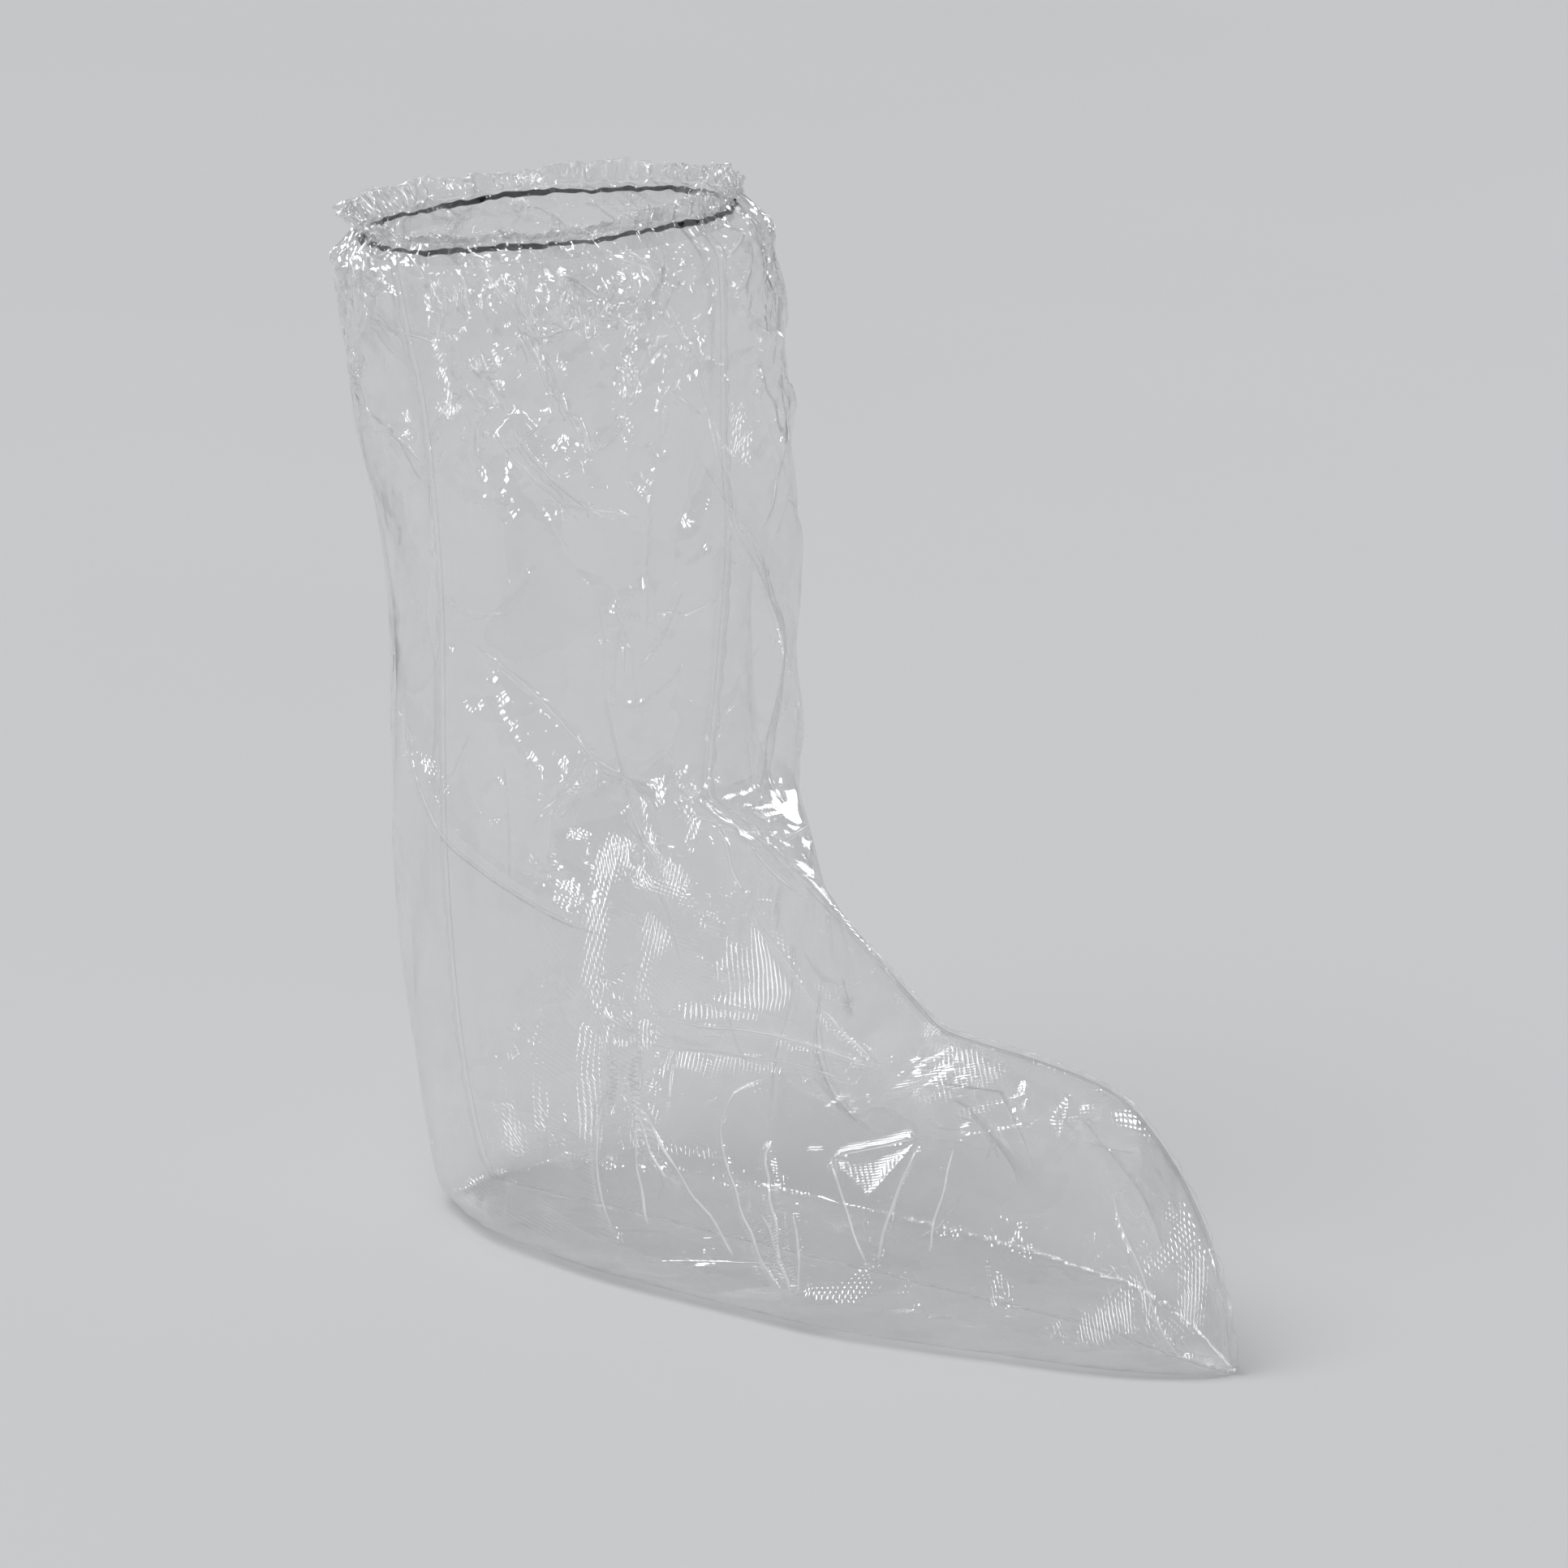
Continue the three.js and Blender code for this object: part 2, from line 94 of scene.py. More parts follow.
# Sharp creases: depth outwards at the crest, half-width of its flanks, and the line it follows as
# along and around pairs.
CREASES = {
    RIGHT: [
        (2.4, 4, [(0.465, 0.335), (0.52, 0.39), (0.585, 0.5), (0.655, 0.615)]),
        (-1.8, 4, [(0.5, 0.315), (0.58, 0.44), (0.665, 0.575)]),
        (-1.1, 4, [(0.47, 0.345), (0.472, 0.285)]),
        (1.0, 4, [(0.49, 0.36), (0.512, 0.335)]),
        (1.3, 5, [(0.52, 0.38), (0.575, 0.42), (0.635, 0.475)]),
        (-1.2, 6, [(0.55, 0.39), (0.66, 0.47), (0.725, 0.575)]),
        (1.8, 7, [(0.5, 0.31), (0.535, 0.225), (0.57, 0.165), (0.65, 0.11)]),
        (-1.2, 5, [(0.515, 0.345), (0.55, 0.26), (0.59, 0.195), (0.655, 0.145)]),
        (1.2, 5, [(0.6, 0.2), (0.59, 0.29), (0.62, 0.35), (0.66, 0.41), (0.7, 0.49), (0.76, 0.61)]),
        (2.2, 4, [(0.65, 0.31), (0.7, 0.43), (0.765, 0.615)]),
        (-1.1, 3, [(0.69, 0.44), (0.725, 0.51), (0.76, 0.6)]),
        (1.0, 3, [(0.712, 0.425), (0.74, 0.5), (0.765, 0.61)]),
        (1.3, 6, [(0.7, 0.31), (0.74, 0.22)]),
        (1.3, 6, [(0.74, 0.22), (0.765, 0.36), (0.79, 0.51)]),
        (1.3, 6, [(0.7, 0.31), (0.745, 0.41), (0.79, 0.51)]),
        (-1.6, 10, [(0.76, 0.19), (0.785, 0.32), (0.81, 0.47)]),
        (1.8, 4, [(0.01, 0.31), (0.05, 0.3), (0.09, 0.28), (0.125, 0.245)]),
        (-1.2, 3.5, [(0.02, 0.335), (0.06, 0.315), (0.1, 0.29)]),
        (1.9, 5, [(0.1, 0.69), (0.115, 0.61), (0.135, 0.53)]),
        (-1.2, 4, [(0.105, 0.72), (0.125, 0.62), (0.145, 0.55)]),
        (1.4, 4, [(0.05, 0.535), (0.062, 0.455)]),
        (1.8, 4, [(0.065, 0.4), (0.092, 0.37)]),
        (1.8, 5, [(0.1, 0.37), (0.13, 0.32), (0.15, 0.27), (0.165, 0.215)]),
        (-1.2, 4, [(0.11, 0.4), (0.14, 0.33), (0.165, 0.265)]),
        (1.0, 3, [(0.15, 0.445), (0.152, 0.375)]),
        (0.9, 3, [(0.14, 0.16), (0.18, 0.155), (0.235, 0.16)]),
        (-1.0, 4, [(0.12, 0.49), (0.15, 0.545), (0.195, 0.56)]),
        (-1.5, 9, [(0.23, 0.47), (0.28, 0.31), (0.31, 0.225), (0.345, 0.08)]),
        (1.6, 9, [(0.27, 0.62), (0.34, 0.52), (0.4, 0.4), (0.455, 0.28)]),
        (1.2, 4, [(0.385, 0.04), (0.42, 0.075), (0.46, 0.09)]),
        (1.0, 3, [(0.47, 0.09), (0.55, 0.105), (0.655, 0.105)]),
        (0.8, 8, [(0.86, 0.12), (0.93, 0.3), (0.985, 0.6)]),
    ],
    LEFT: [
        (2.0, 6, [(0.18, 0.04), (0.225, 0.13), (0.27, 0.19), (0.34, 0.16), (0.385, 0.07)]),
        (-1.3, 5, [(0.2, 0.1), (0.26, 0.21), (0.33, 0.21), (0.4, 0.12)]),
        (1.6, 4, [(0.005, 0.26), (0.035, 0.19)]),
        (1.0, 4, [(0.42, 0.03), (0.41, 0.165)]),
        (1.7, 5, [(0.1, 0.16), (0.14, 0.13), (0.19, 0.08)]),
        (1.6, 7, [(0.2, 0.5), (0.28, 0.42), (0.36, 0.32)]),
        (-1.3, 6, [(0.06, 0.62), (0.13, 0.52), (0.2, 0.47)]),
        (1.5, 5, [(0.49, 0.34), (0.54, 0.47), (0.6, 0.66)]),
        (-1.3, 5, [(0.52, 0.27), (0.58, 0.36), (0.65, 0.52)]),
        (1.3, 5, [(0.68, 0.3), (0.72, 0.43), (0.75, 0.56)]),
        (-1.2, 8, [(0.36, 0.6), (0.43, 0.42), (0.47, 0.25)]),
        (1.2, 5, [(0.3, 0.72), (0.4, 0.66), (0.47, 0.6)]),
        (0.9, 8, [(0.78, 0.2), (0.84, 0.42), (0.87, 0.6)]),
    ],
}

# Flat facets between creases: their corners as along and around pairs, and how steeply the film rises
# from the edge that starts at each corner. The lowest rise is the facet's own tilt.
FACETS = {
    RIGHT: [
        ([(0.7, 0.31), (0.74, 0.22), (0.79, 0.51)], (0.2, 0.7, 0.7)),
        ([(0.665, 0.34), (0.712, 0.41), (0.765, 0.615), (0.712, 0.46)], (0.6, 0.7, 0.2, 0.2)),
        ([(0.51, 0.32), (0.53, 0.24), (0.64, 0.11), (0.655, 0.15)], (0.6, 0.16, 0.6, 0.3)),
        ([(0.11, 0.66), (0.112, 0.56), (0.15, 0.52), (0.14, 0.6)], (0.5, 0.2, 0.5, 0.3)),
        ([(0.065, 0.42), (0.07, 0.37), (0.1, 0.36), (0.1, 0.4)], (0.5, 0.2, 0.5, 0.4)),
        ([(0.1, 0.37), (0.11, 0.32), (0.165, 0.22), (0.155, 0.29)], (0.5, 0.16, 0.5, 0.4)),
        ([(0.19, 0.28), (0.2, 0.21), (0.225, 0.23), (0.22, 0.27)], (0.5, 0.2, 0.4, 0.4)),
        ([(0.76, 0.04), (0.8, 0.03), (0.83, 0.16), (0.78, 0.13)], (0.14, 0.4, 0.4, 0.4)),
    ],
    LEFT: [
        ([(0.1, 0.2), (0.12, 0.1), (0.2, 0.12), (0.17, 0.2)], (0.5, 0.16, 0.5, 0.4)),
        ([(0.5, 0.3), (0.53, 0.22), (0.62, 0.5), (0.57, 0.5)], (0.5, 0.16, 0.5, 0.3)),
        ([(0.66, 0.25), (0.72, 0.2), (0.76, 0.5)], (0.5, 0.5, 0.12)),
        ([(0.3, 0.5), (0.34, 0.4), (0.4, 0.44), (0.36, 0.56)], (0.4, 0.12, 0.4, 0.3)),
    ],
}
# Crumpled patches: along and around of the middle, radius, strength.
CRUMPLES = {
    RIGHT: [(0.125, 0.6, 15, 0.9), (0.09, 0.39, 14, 0.7), (0.14, 0.26, 14, 0.7), (0.06, 0.14, 16, 0.8),
            (0.15, 0.41, 8, 0.7), (0.2, 0.15, 10, 0.4), (0.48, 0.32, 10, 0.4), (0.36, 0.75, 14, 0.4)],
    LEFT: [(0.13, 0.16, 16, 1.0), (0.1, 0.5, 18, 0.8), (0.22, 0.62, 16, 0.6), (0.3, 0.3, 14, 0.4),
           (0.45, 0.5, 14, 0.4), (0.53, 0.5, 26, 0.45), (0.62, 0.38, 22, 0.35)],
}


# ---- Shape helpers ----
def soft_step(low, high, value):
    t = np.clip((value - low) / (high - low), 0, 1)
    return t * t * (3 - 2 * t)


def section_places():
    """Each section's place from 0 at the hem to 1 at the tip, and the bag's mean length."""
    front = np.hypot(np.diff(SECTIONS[:, 0]), np.diff(SECTIONS[:, 1]))
    back = np.hypot(np.diff(SECTIONS[:, 2]), np.diff(SECTIONS[:, 3]))
    steps = front + back
    return np.concatenate([[0], np.cumsum(steps)]) / steps.sum(), steps.sum() / 2


PLACES, BAG_LENGTH = section_places()


def sections_at(along):
    """The section table's columns at these places, on curves that never overshoot a section."""
    spans = np.diff(PLACES)
    i = np.clip(np.searchsorted(PLACES, along, side="right") - 1, 0, len(spans) - 1)
    t = (along - PLACES[i]) / spans[i]
    columns = []
    for column in SECTIONS.T:
        slopes = np.diff(column) / spans
        tangents = np.zeros(len(column))
        tangents[0], tangents[-1] = slopes[0], slopes[-1]
        for k in range(1, len(slopes)):
            before, after = slopes[k - 1], slopes[k]
            if before * after > 0:
                w1, w2 = 2 * spans[k] + spans[k - 1], spans[k] + 2 * spans[k - 1]
                tangents[k] = (w1 + w2) / (w1 / before + w2 / after)
        columns.append(
            column[i] * (2 * t**3 - 3 * t**2 + 1) + spans[i] * tangents[i] * (t**3 - 2 * t**2 + t)
            + column[i + 1] * (3 * t**2 - 2 * t**3) + spans[i] * tangents[i + 1] * (t**3 - t**2)
        )
    return np.array(columns)


def swing_tip(points):
    swung = soft_step(TIP_SWING["from"], TIP_SWING["to"], points[..., 0])
    points[..., 1] += TIP_SWING["reach"] * swung
    return points


def smooth_panel(side, along, columns):
    """A panel's points before it is folded, in millimetres above the ground, and its girths."""
    front_x, front_z, back_x, back_z, right, left, widest, lean, *powers = sections_at(along)
    front_power, back_power = powers
    half = right if side == RIGHT else left
    widest = widest + side * lean
    turn = np.linspace(0, math.pi / 2, OUTLINE_STEPS)
    points, girths = [], []
    for k in range(len(along)):
        rise = widest[k] + (1 - widest[k]) * np.cos(turn) ** (2 / front_power[k])
        fall = widest[k] - widest[k] * np.sin(turn[1:]) ** (2 / back_power[k])
        share = np.concatenate([rise, fall])
        width = np.concatenate([
            np.sin(turn) ** (2 / front_power[k]), np.abs(np.cos(turn[1:])) ** (2 / back_power[k])])
        outline = np.stack([
            back_x[k] + (front_x[k] - back_x[k]) * share,
            side * (SEAM_HALF + width * (half[k] - SEAM_HALF)),
            back_z[k] + (front_z[k] - back_z[k]) * share], 1)
        lengths = np.concatenate([[0], np.cumsum(np.linalg.norm(np.diff(outline, axis=0), axis=1))])
        evenly = np.linspace(0, lengths[-1], columns + 1)
        points.append(np.stack([np.interp(evenly, lengths, outline[:, axis]) for axis in range(3)], 1))
        girths.append(lengths[-1])
    return swing_tip(np.array(points)), np.array(girths)


def outward_normals(points, side):
    normals = np.cross(np.gradient(points, axis=0), np.gradient(points, axis=1)) * side
    return normals / np.maximum(np.linalg.norm(normals, axis=-1, keepdims=True), 1e-9)


RIPPLE_WAVES, RIPPLE_PEAK = 9, 3.2
FACET_TABLE = 97  # how many facet corners lie each way before they repeat
NO_LINE = 1e9  # farther than any line or edge


def ripple(x, y, size, seed):
    """Smooth unevenness from about -1 to 1, with its bumps about `size` apart."""
    random = np.random.default_rng(seed)
    total = 0
    for _ in range(RIPPLE_WAVES):
        turn, start = random.uniform(0, FULL_TURN, 2)
        wave = size * random.uniform(0.7, 1.6)
        total = total + np.sin(FULL_TURN * (x * math.cos(turn) + y * math.sin(turn)) / wave + start)
    return total / RIPPLE_PEAK


def facets(x, y, size, seed):
    """Flat facets about `size` across that meet at sharp edges, as in crumpled film, from -1 to 1."""
    wander = 0.4 * size
    x, y = x + wander * ripple(x, y, 2 * size, seed + 1), y + wander * ripple(x, y, 2 * size, seed + 2)
    heights = np.random.default_rng(seed).uniform(-1, 1, (FACET_TABLE, FACET_TABLE))
    p, q = (x - y / math.sqrt(3)) / size, 2 * y / math.sqrt(3) / size
    i, j = np.floor(p).astype(int), np.floor(q).astype(int)
    f, g = p - i, q - j

    def corner(right, up):
        return heights[(i + right) % FACET_TABLE, (j + up) % FACET_TABLE]

    lower = corner(0, 0) * (1 - f - g) + corner(1, 0) * f + corner(0, 1) * g
    upper = corner(1, 1) * (f + g - 1) + corner(1, 0) * (1 - g) + corner(0, 1) * (1 - f)
    return np.where(f + g > 1, upper, lower)


def from_line(x, y, line):
    """Each point's distance from a line of points, below zero on its left, and how far along the line
    its nearest place is."""
    steps = np.hypot(*np.diff(line, axis=0).T)
    starts = np.concatenate([[0], np.cumsum(steps)])
    nearest, share = np.full(x.shape, NO_LINE), np.zeros(x.shape)
    for (x0, y0), (x1, y1), start, step in zip(line[:-1], line[1:], starts, steps):
        run_x, run_y = (x1 - x0) / step, (y1 - y0) / step
        t = np.clip((x - x0) * run_x + (y - y0) * run_y, 0, step)
        off_x, off_y = x - x0 - t * run_x, y - y0 - t * run_y
        distance = np.hypot(off_x, off_y) * np.where(run_x * off_y - run_y * off_x < 0, -1, 1)
        closer = np.abs(distance) < np.abs(nearest)
        nearest = np.where(closer, distance, nearest)
        share = np.where(closer, (start + t) / starts[-1], share)
    return nearest, share


# Stray creases: how many, the band below the hem they start in, their length, and their depth.
STRAY_CREASES = ((52, 3, 66, 17, 1.3), (15, 60, 230, 34, 0.8), (7, 300, 520, 34, 0.5))
STRAY_STEPS = 3  # straight runs in a stray crease
STRAY_SEED, PLEAT_SEED, GATHER_SEED = 41, 11, 31


def stray_creases(side, depths, girths):
    """Random creases as (depth, half-width, line on the flat pattern), many of them under the elastic."""
    random = np.random.default_rng(STRAY_SEED + side)
    strays = []
    for count, top, bottom, length, depth in STRAY_CREASES:
        for _ in range(count):
            y = top + (bottom - top) * random.uniform() ** 1.3
            x = random.uniform(0.05, 0.95) * np.interp(y, depths, girths)
            turn, bend = random.normal(math.pi / 2, 0.75), random.normal(0, 0.35)
            points = [(x, y)]
            for _ in range(STRAY_STEPS):
                step = length * random.uniform(0.6, 1.5) / STRAY_STEPS
                x, y = x + step * math.cos(turn), y + step * math.sin(turn)
                points.append((x, y))
                turn += bend
            push = depth * random.uniform(0.5, 1.3) * random.choice((-1, 1))
            strays.append((push, random.uniform(2, 5), np.array(points)))
    return strays


# ---- The hem's pleats, shared by the panels and the ruffle ----
# Pleats: how many go round, their depth, and how far down they fade.
PLEATS = ((19, 1.5, 30), (29, 1.2, 22), (47, 1.0, 15), (71, 0.75, 9), (103, 0.5, 6))


def hem_pleats(ring, below):
    """Outward push of the gathers at a place round the hem, from 0 to 1, and a distance below it."""
    random = np.random.default_rng(PLEAT_SEED)
    push = 0
    for count, depth, fade in PLEATS:
        start, drift, swell, swell_start = random.uniform(0, FULL_TURN, 4)
        wander = 0.9 * np.sin(FULL_TURN * 5 * ring + swell_start + 0.04 * below)
        turn = FULL_TURN * count * ring + start + wander + 0.02 * (drift - 3) * below
        strength = 0.55 + 0.45 * np.sin(FULL_TURN * 3 * ring + swell)
        fold = 1 - 2 * np.abs(np.sin(turn / 2)) ** 0.8
        push = push + depth * strength * fold * np.exp(-((below / fade) ** 1.4))
    return push


# ---- A panel's relief ----
RIGHT_HEM_SHARE = 0.5  # both panels have the same girth at the hem
RIGHT_SEED, LEFT_SEED = 100, 200
WOBBLE, WOBBLE_SIZE = 0.45, 30  # how far a crease strays from its line, and over what length
CREST = 1.1  # how round a crease's crest is
CREASE_REACH = 24  # how far round its line a crease is worked out
NO_CREASE = 9.0  # the offset where no crease is near
NEAR_CREASE = 6  # the offset at which a crease is near
DEEP_CREASE = 1.6  # creases this deep are marked in full
MARK_FADE = (2.0, 3.4)  # the mark of a crease fades at this distance
END_FADE = 0.2  # the share of a crease's length over which each end fades
LEG_FADE = (0.36, 0.5)  # along, where the leg's loose film gives way to the foot's
CRUMPLED_HEM = 58  # how far below the hem the film is crumpled


def pattern_line(pairs, along, girth):
    """A line through these places as points on the flat pattern, rounded at its turns."""
    pairs = np.array(pairs)
    t = np.linspace(0, len(pairs) - 1, 6 * (len(pairs) - 1) + 1)
    a = np.interp(t, np.arange(len(pairs)), pairs[:, 0])
    b = np.interp(t, np.arange(len(pairs)), pairs[:, 1])
    if len(pairs) > 2:
        soften = np.array([1, 2, 3, 2, 1]) / 9
        a[2:-2] = np.convolve(a, soften, "valid")
        b[2:-2] = np.convolve(b, soften, "valid")
    return np.stack([b * np.interp(a, along, girth), a * BAG_LENGTH], 1)


def broad_folds(side, across, below, on_pattern):
    """Outward push of the broad soft-edged folds."""
    push = np.zeros(across.shape)
    for a0, b0, a1, b1, depth, half_width in BROAD_FOLDS[side]:
        distance, share = from_line(across, below, on_pattern([(a0, b0), (a1, b1)]))
        fade = 0.3 + 0.7 * np.sin(math.pi * share)
        push += depth * fade * np.maximum(1 - np.abs(distance) / half_width, 0) ** 1.4
    return push


def flat_facets(side, across, below, on_pattern):
    """Outward push of the flat facets, each the lowest of the slopes that rise from its edges."""
    push = np.zeros(across.shape)
    for corners, rises in FACETS[side]:
        edges = np.array([on_pattern(pair)[[0, -1]] for pair in zip(corners, corners[1:] + corners[:1])])
        starts, runs = edges[:, 0], edges[:, 1] - edges[:, 0]
        turned = np.sign(runs[0, 0] * runs[1, 1] - runs[0, 1] * runs[1, 0])
        height = np.full(across.shape, NO_LINE)
        for (x, y), (run_x, run_y), rise in zip(starts, runs, rises):
            inside = turned * (run_x * (below - y) - run_y * (across - x)) / math.hypot(run_x, run_y)
            height = np.minimum(height, rise * inside)
        push += np.maximum(height, 0)
    return push


def sharp_creases(side, across, below, girth, seed, on_pattern):
    """Outward push of the creases, each point's offset from the crease nearest to it, and how strongly
    that crease is marked there, from 0 to 1."""
    lines = [(depth, half_width, on_pattern(pairs)) for depth, half_width, pairs in CREASES[side]]
    lines += stray_creases(side, below[:, 0], girth)
    wobble = WOBBLE * ripple(across, below, WOBBLE_SIZE, seed + 3)
    push, strength = np.zeros(across.shape), np.zeros(across.shape)
    offset = np.full(across.shape, NO_CREASE)
    for depth, half_width, line in lines:
        top, bottom = line[:, 1].min() - CREASE_REACH, line[:, 1].max() + CREASE_REACH
        rows = np.flatnonzero((below[:, 0] > top) & (below[:, 0] < bottom))
        here = np.s_[rows[0]:rows[-1] + 1]
        distance, share = from_line((across + wobble)[here], (below - wobble)[here], line)
        fade = soft_step(0, END_FADE, share) * soft_step(0, END_FADE, 1 - share)
        rounded = np.hypot(distance, CREST) - CREST
        push[here] += depth * fade * np.exp(-rounded / (0.55 * half_width))
        distance_off = np.abs(distance)
        closer = (distance_off < np.abs(offset[here])) & (distance_off < NEAR_CREASE)
        offset[here] = np.where(closer, distance, offset[here])
        marked = fade * min(abs(depth) / DEEP_CREASE, 1) * (1 - soft_step(*MARK_FADE, distance_off))
        strength[here] = np.where(closer, marked, strength[here])
    return push, offset, strength


def crumpled_film(side, along, across, below, seed, on_pattern):
    """Outward push of the facets the film breaks into: coarse and long on the leg, fine where it is
    crumpled, and shallow on the foot."""
    leg = 1 - soft_step(*LEG_FADE, along)
    stretched = 0.55 * below
    patchy = leg * soft_step(-0.5, 0.7, ripple(across, below, 70, seed + 4))
    crumpled = np.exp(-((below / CRUMPLED_HEM) ** 1.6))
    for a, b, radius, amount in CRUMPLES[side]:
        x, y = on_pattern([(a, b), (a, b)])[0]
        crumpled += amount * np.exp(-((across - x) ** 2 + (below - y) ** 2) / radius**2)
    push = 1.6 * leg * ripple(across, stretched, 60, seed + 10)
    for height, size, step, down, where in (
            (3.0, 36, 5, stretched, leg),
            (2.6, 22, 6, below, 0.8 * crumpled + 0.3 * patchy),
            (1.2, 9.5, 7, below, crumpled + 0.12 * patchy),
            (0.4, 4.5, 8, below, crumpled),
            (1.1, 52, 9, below, 1 - leg),
            (0.25, 17, 12, below, 1 - leg)):
        push += height * where * facets(across, down, size, seed + step)
    return push


def panel_relief(side, along, around, across, below):
    """Outward push of everything that folds a panel but its pleats, each point's place round the hem, its
    offset from the nearest crease and that crease's strength. `across` and `below` are the flat pattern's
    distances from the front seam and from the hem."""
    ring = around * RIGHT_HEM_SHARE if side == RIGHT else 1 - around * (1 - RIGHT_HEM_SHARE)
    seed = RIGHT_SEED if side == RIGHT else LEFT_SEED
    girth = across.max(axis=1)

    def on_pattern(pairs):
        return pattern_line(pairs, along[:, 0], girth)

    push, offset, strength = sharp_creases(side, across, below, girth, seed, on_pattern)
    push += broad_folds(side, across, below, on_pattern)
    push += flat_facets(side, across, below, on_pattern)
    push += crumpled_film(side, along, across, below, seed, on_pattern)
    return push, ring, offset, strength


# Where a panel's folds grow to full depth: from the seams, above the ground, below the hem, and, along,
# where they end at the tip. Then where the pleats and the marks of creases do, from the seams.
SEAM_CALM, SOLE_CALM, HEM_CALM, TIP_CALM = (0, 9), (-2, 26), (0, 10), (0.95, 0.985)
PLEAT_CALM, MARK_CALM = (0, 3), (0, 5)
SOLE_CLEARANCE = 0.2  # from the ground to the lowest film


def film_panel(side):
    """A film panel's points in the frame and its flat pattern, in metres, and the marks of its creases."""
    places = np.linspace(0, PANEL_END, PANEL_ROWS + 1)
    points, girths = smooth_panel(side, places, PANEL_COLUMNS)
    normals = outward_normals(points, side)
    along = places[:, None] + np.zeros(PANEL_COLUMNS + 1)
    around = np.linspace(0, 1, PANEL_COLUMNS + 1)[None, :] + np.zeros((PANEL_ROWS + 1, 1))
    across, below = around * girths[:, None], along * BAG_LENGTH
    push, ring, offset, strength = panel_relief(side, along, around, across, below)
    from_seams = np.minimum(across, girths[:, None] - across)
    push = push * soft_step(*SEAM_CALM, from_seams) * soft_step(*SOLE_CALM, points[..., 2])
    push = push * soft_step(*HEM_CALM, below) * (1 - soft_step(*TIP_CALM, along))
    push = push + hem_pleats(ring, below) * soft_step(*PLEAT_CALM, from_seams)
    points = points + normals * push[..., None]
    points[..., 2] = np.maximum(points[..., 2], SOLE_CLEARANCE)
    marks = {"crease_offset": offset, "crease_strength": strength * soft_step(*MARK_CALM, from_seams)}
    return (points - HEM_MIDDLE) * MM, np.stack([across, -below], -1) * MM, marks


def grid_piece(name, points, flat, turned_over=False, closed=False):
    """One sheet from rows of points, with its flat pattern in metres as its UV map. A closed sheet joins
    its last column to its first."""
    rows, columns = points.shape[:2]
    index = np.arange(rows * columns).reshape(rows, columns)
    if closed:
        index = np.concatenate([index, index[:, :1]], axis=1)
    quads = np.stack([index[:-1, :-1], index[1:, :-1], index[1:, 1:], index[:-1, 1:]], -1)
    spots = np.arange(index.size).reshape(index.shape)
    corners = np.stack([spots[:-1, :-1], spots[1:, :-1], spots[1:, 1:], spots[:-1, 1:]], -1)
    if turned_over:
        quads, corners = quads[..., ::-1], corners[..., ::-1]
    mesh = bpy.data.meshes.new(name)
    mesh.from_pydata(points.reshape(-1, 3).tolist(), [], quads.reshape(-1, 4).tolist())
    pattern = mesh.uv_layers.new(name="flat_pattern")
    pattern.data.foreach_set("uv", flat.reshape(-1, 2)[corners.ravel()].ravel())
    mesh.polygons.foreach_set("use_smooth", [True] * len(mesh.polygons))
    mesh.update()
    piece = bpy.data.objects.new(name, mesh)
    bpy.context.scene.collection.objects.link(piece)
    return piece


# ---- Welds ----
def seam_line(seam, places):
    """Points along a seam and the way out of the bag there, in millimetres above the ground."""
    front_x, front_z, back_x, back_z = sections_at(places)[:4]
    x, z = (front_x, front_z) if seam == "front" else (back_x, back_z)
    points = np.stack([x, np.zeros(len(x)), z], 1)
    run = np.gradient(points, axis=0)
    out = np.stack([-run[:, 2], run[:, 1], run[:, 0]], 1) * (1 if seam == "front" else -1)
    return points, out / np.linalg.norm(out, axis=1, keepdims=True)


WELD_STEP, WELD_LINES = 1.1, 8  # between points along a weld, and lines of points across it
WELD_THICKNESS, WELD_CLEARANCE = 0.35, 0.3


def weld_strip(name, seam, start, end, inwards, outwards, seed):
    """The flat welded edge of the two films: a thin strip in the middle plane, with a puckered rim."""
    places = np.linspace(start, end, int((end - start) * BAG_LENGTH / WELD_STEP))
    points, out = seam_line(seam, places)
    lengths = np.concatenate([[0], np.cumsum(np.linalg.norm(np.diff(points, axis=0), axis=1))])
    reaches = np.linspace(-inwards, outwards, WELD_LINES)
    level = lengths * 0
    pucker = ripple(lengths, level, 13, seed) + 0.5 * ripple(lengths, level, 6, seed + 1)
    nick = 0.22 * ripple(lengths, level, 9, seed + 2)
    lines = []
    for share, reach in zip(np.linspace(0, 1, WELD_LINES), reaches):
        line = points + out * (reach + nick * share)[:, None]
        line[:, 1] += 0.55 * pucker * share**2
        lines.append(swing_tip(line))
    grid = np.stack(lines, 1)
    grid[..., 2] = np.maximum(grid[..., 2], WELD_CLEARANCE)
    flat = np.stack(np.meshgrid(reaches, lengths), -1) * MM
    strip = grid_piece(name, (grid - HEM_MIDDLE) * MM, flat, turned_over=seam == "front")
    thick = strip.modifiers.new("film_thickness", "SOLIDIFY")
    thick.thickness, thick.offset = WELD_THICKNESS * MM, 0
    apply_modifiers(strip)
    return strip


def select_only(piece):
    bpy.ops.object.select_all(action="DESELECT")
    piece.select_set(True)
    bpy.context.view_layer.objects.active = piece


def apply_modifiers(piece):
    select_only(piece)
    for modifier in list(piece.modifiers):
        bpy.ops.object.modifier_apply(modifier=modifier.name)
    piece.select_set(False)


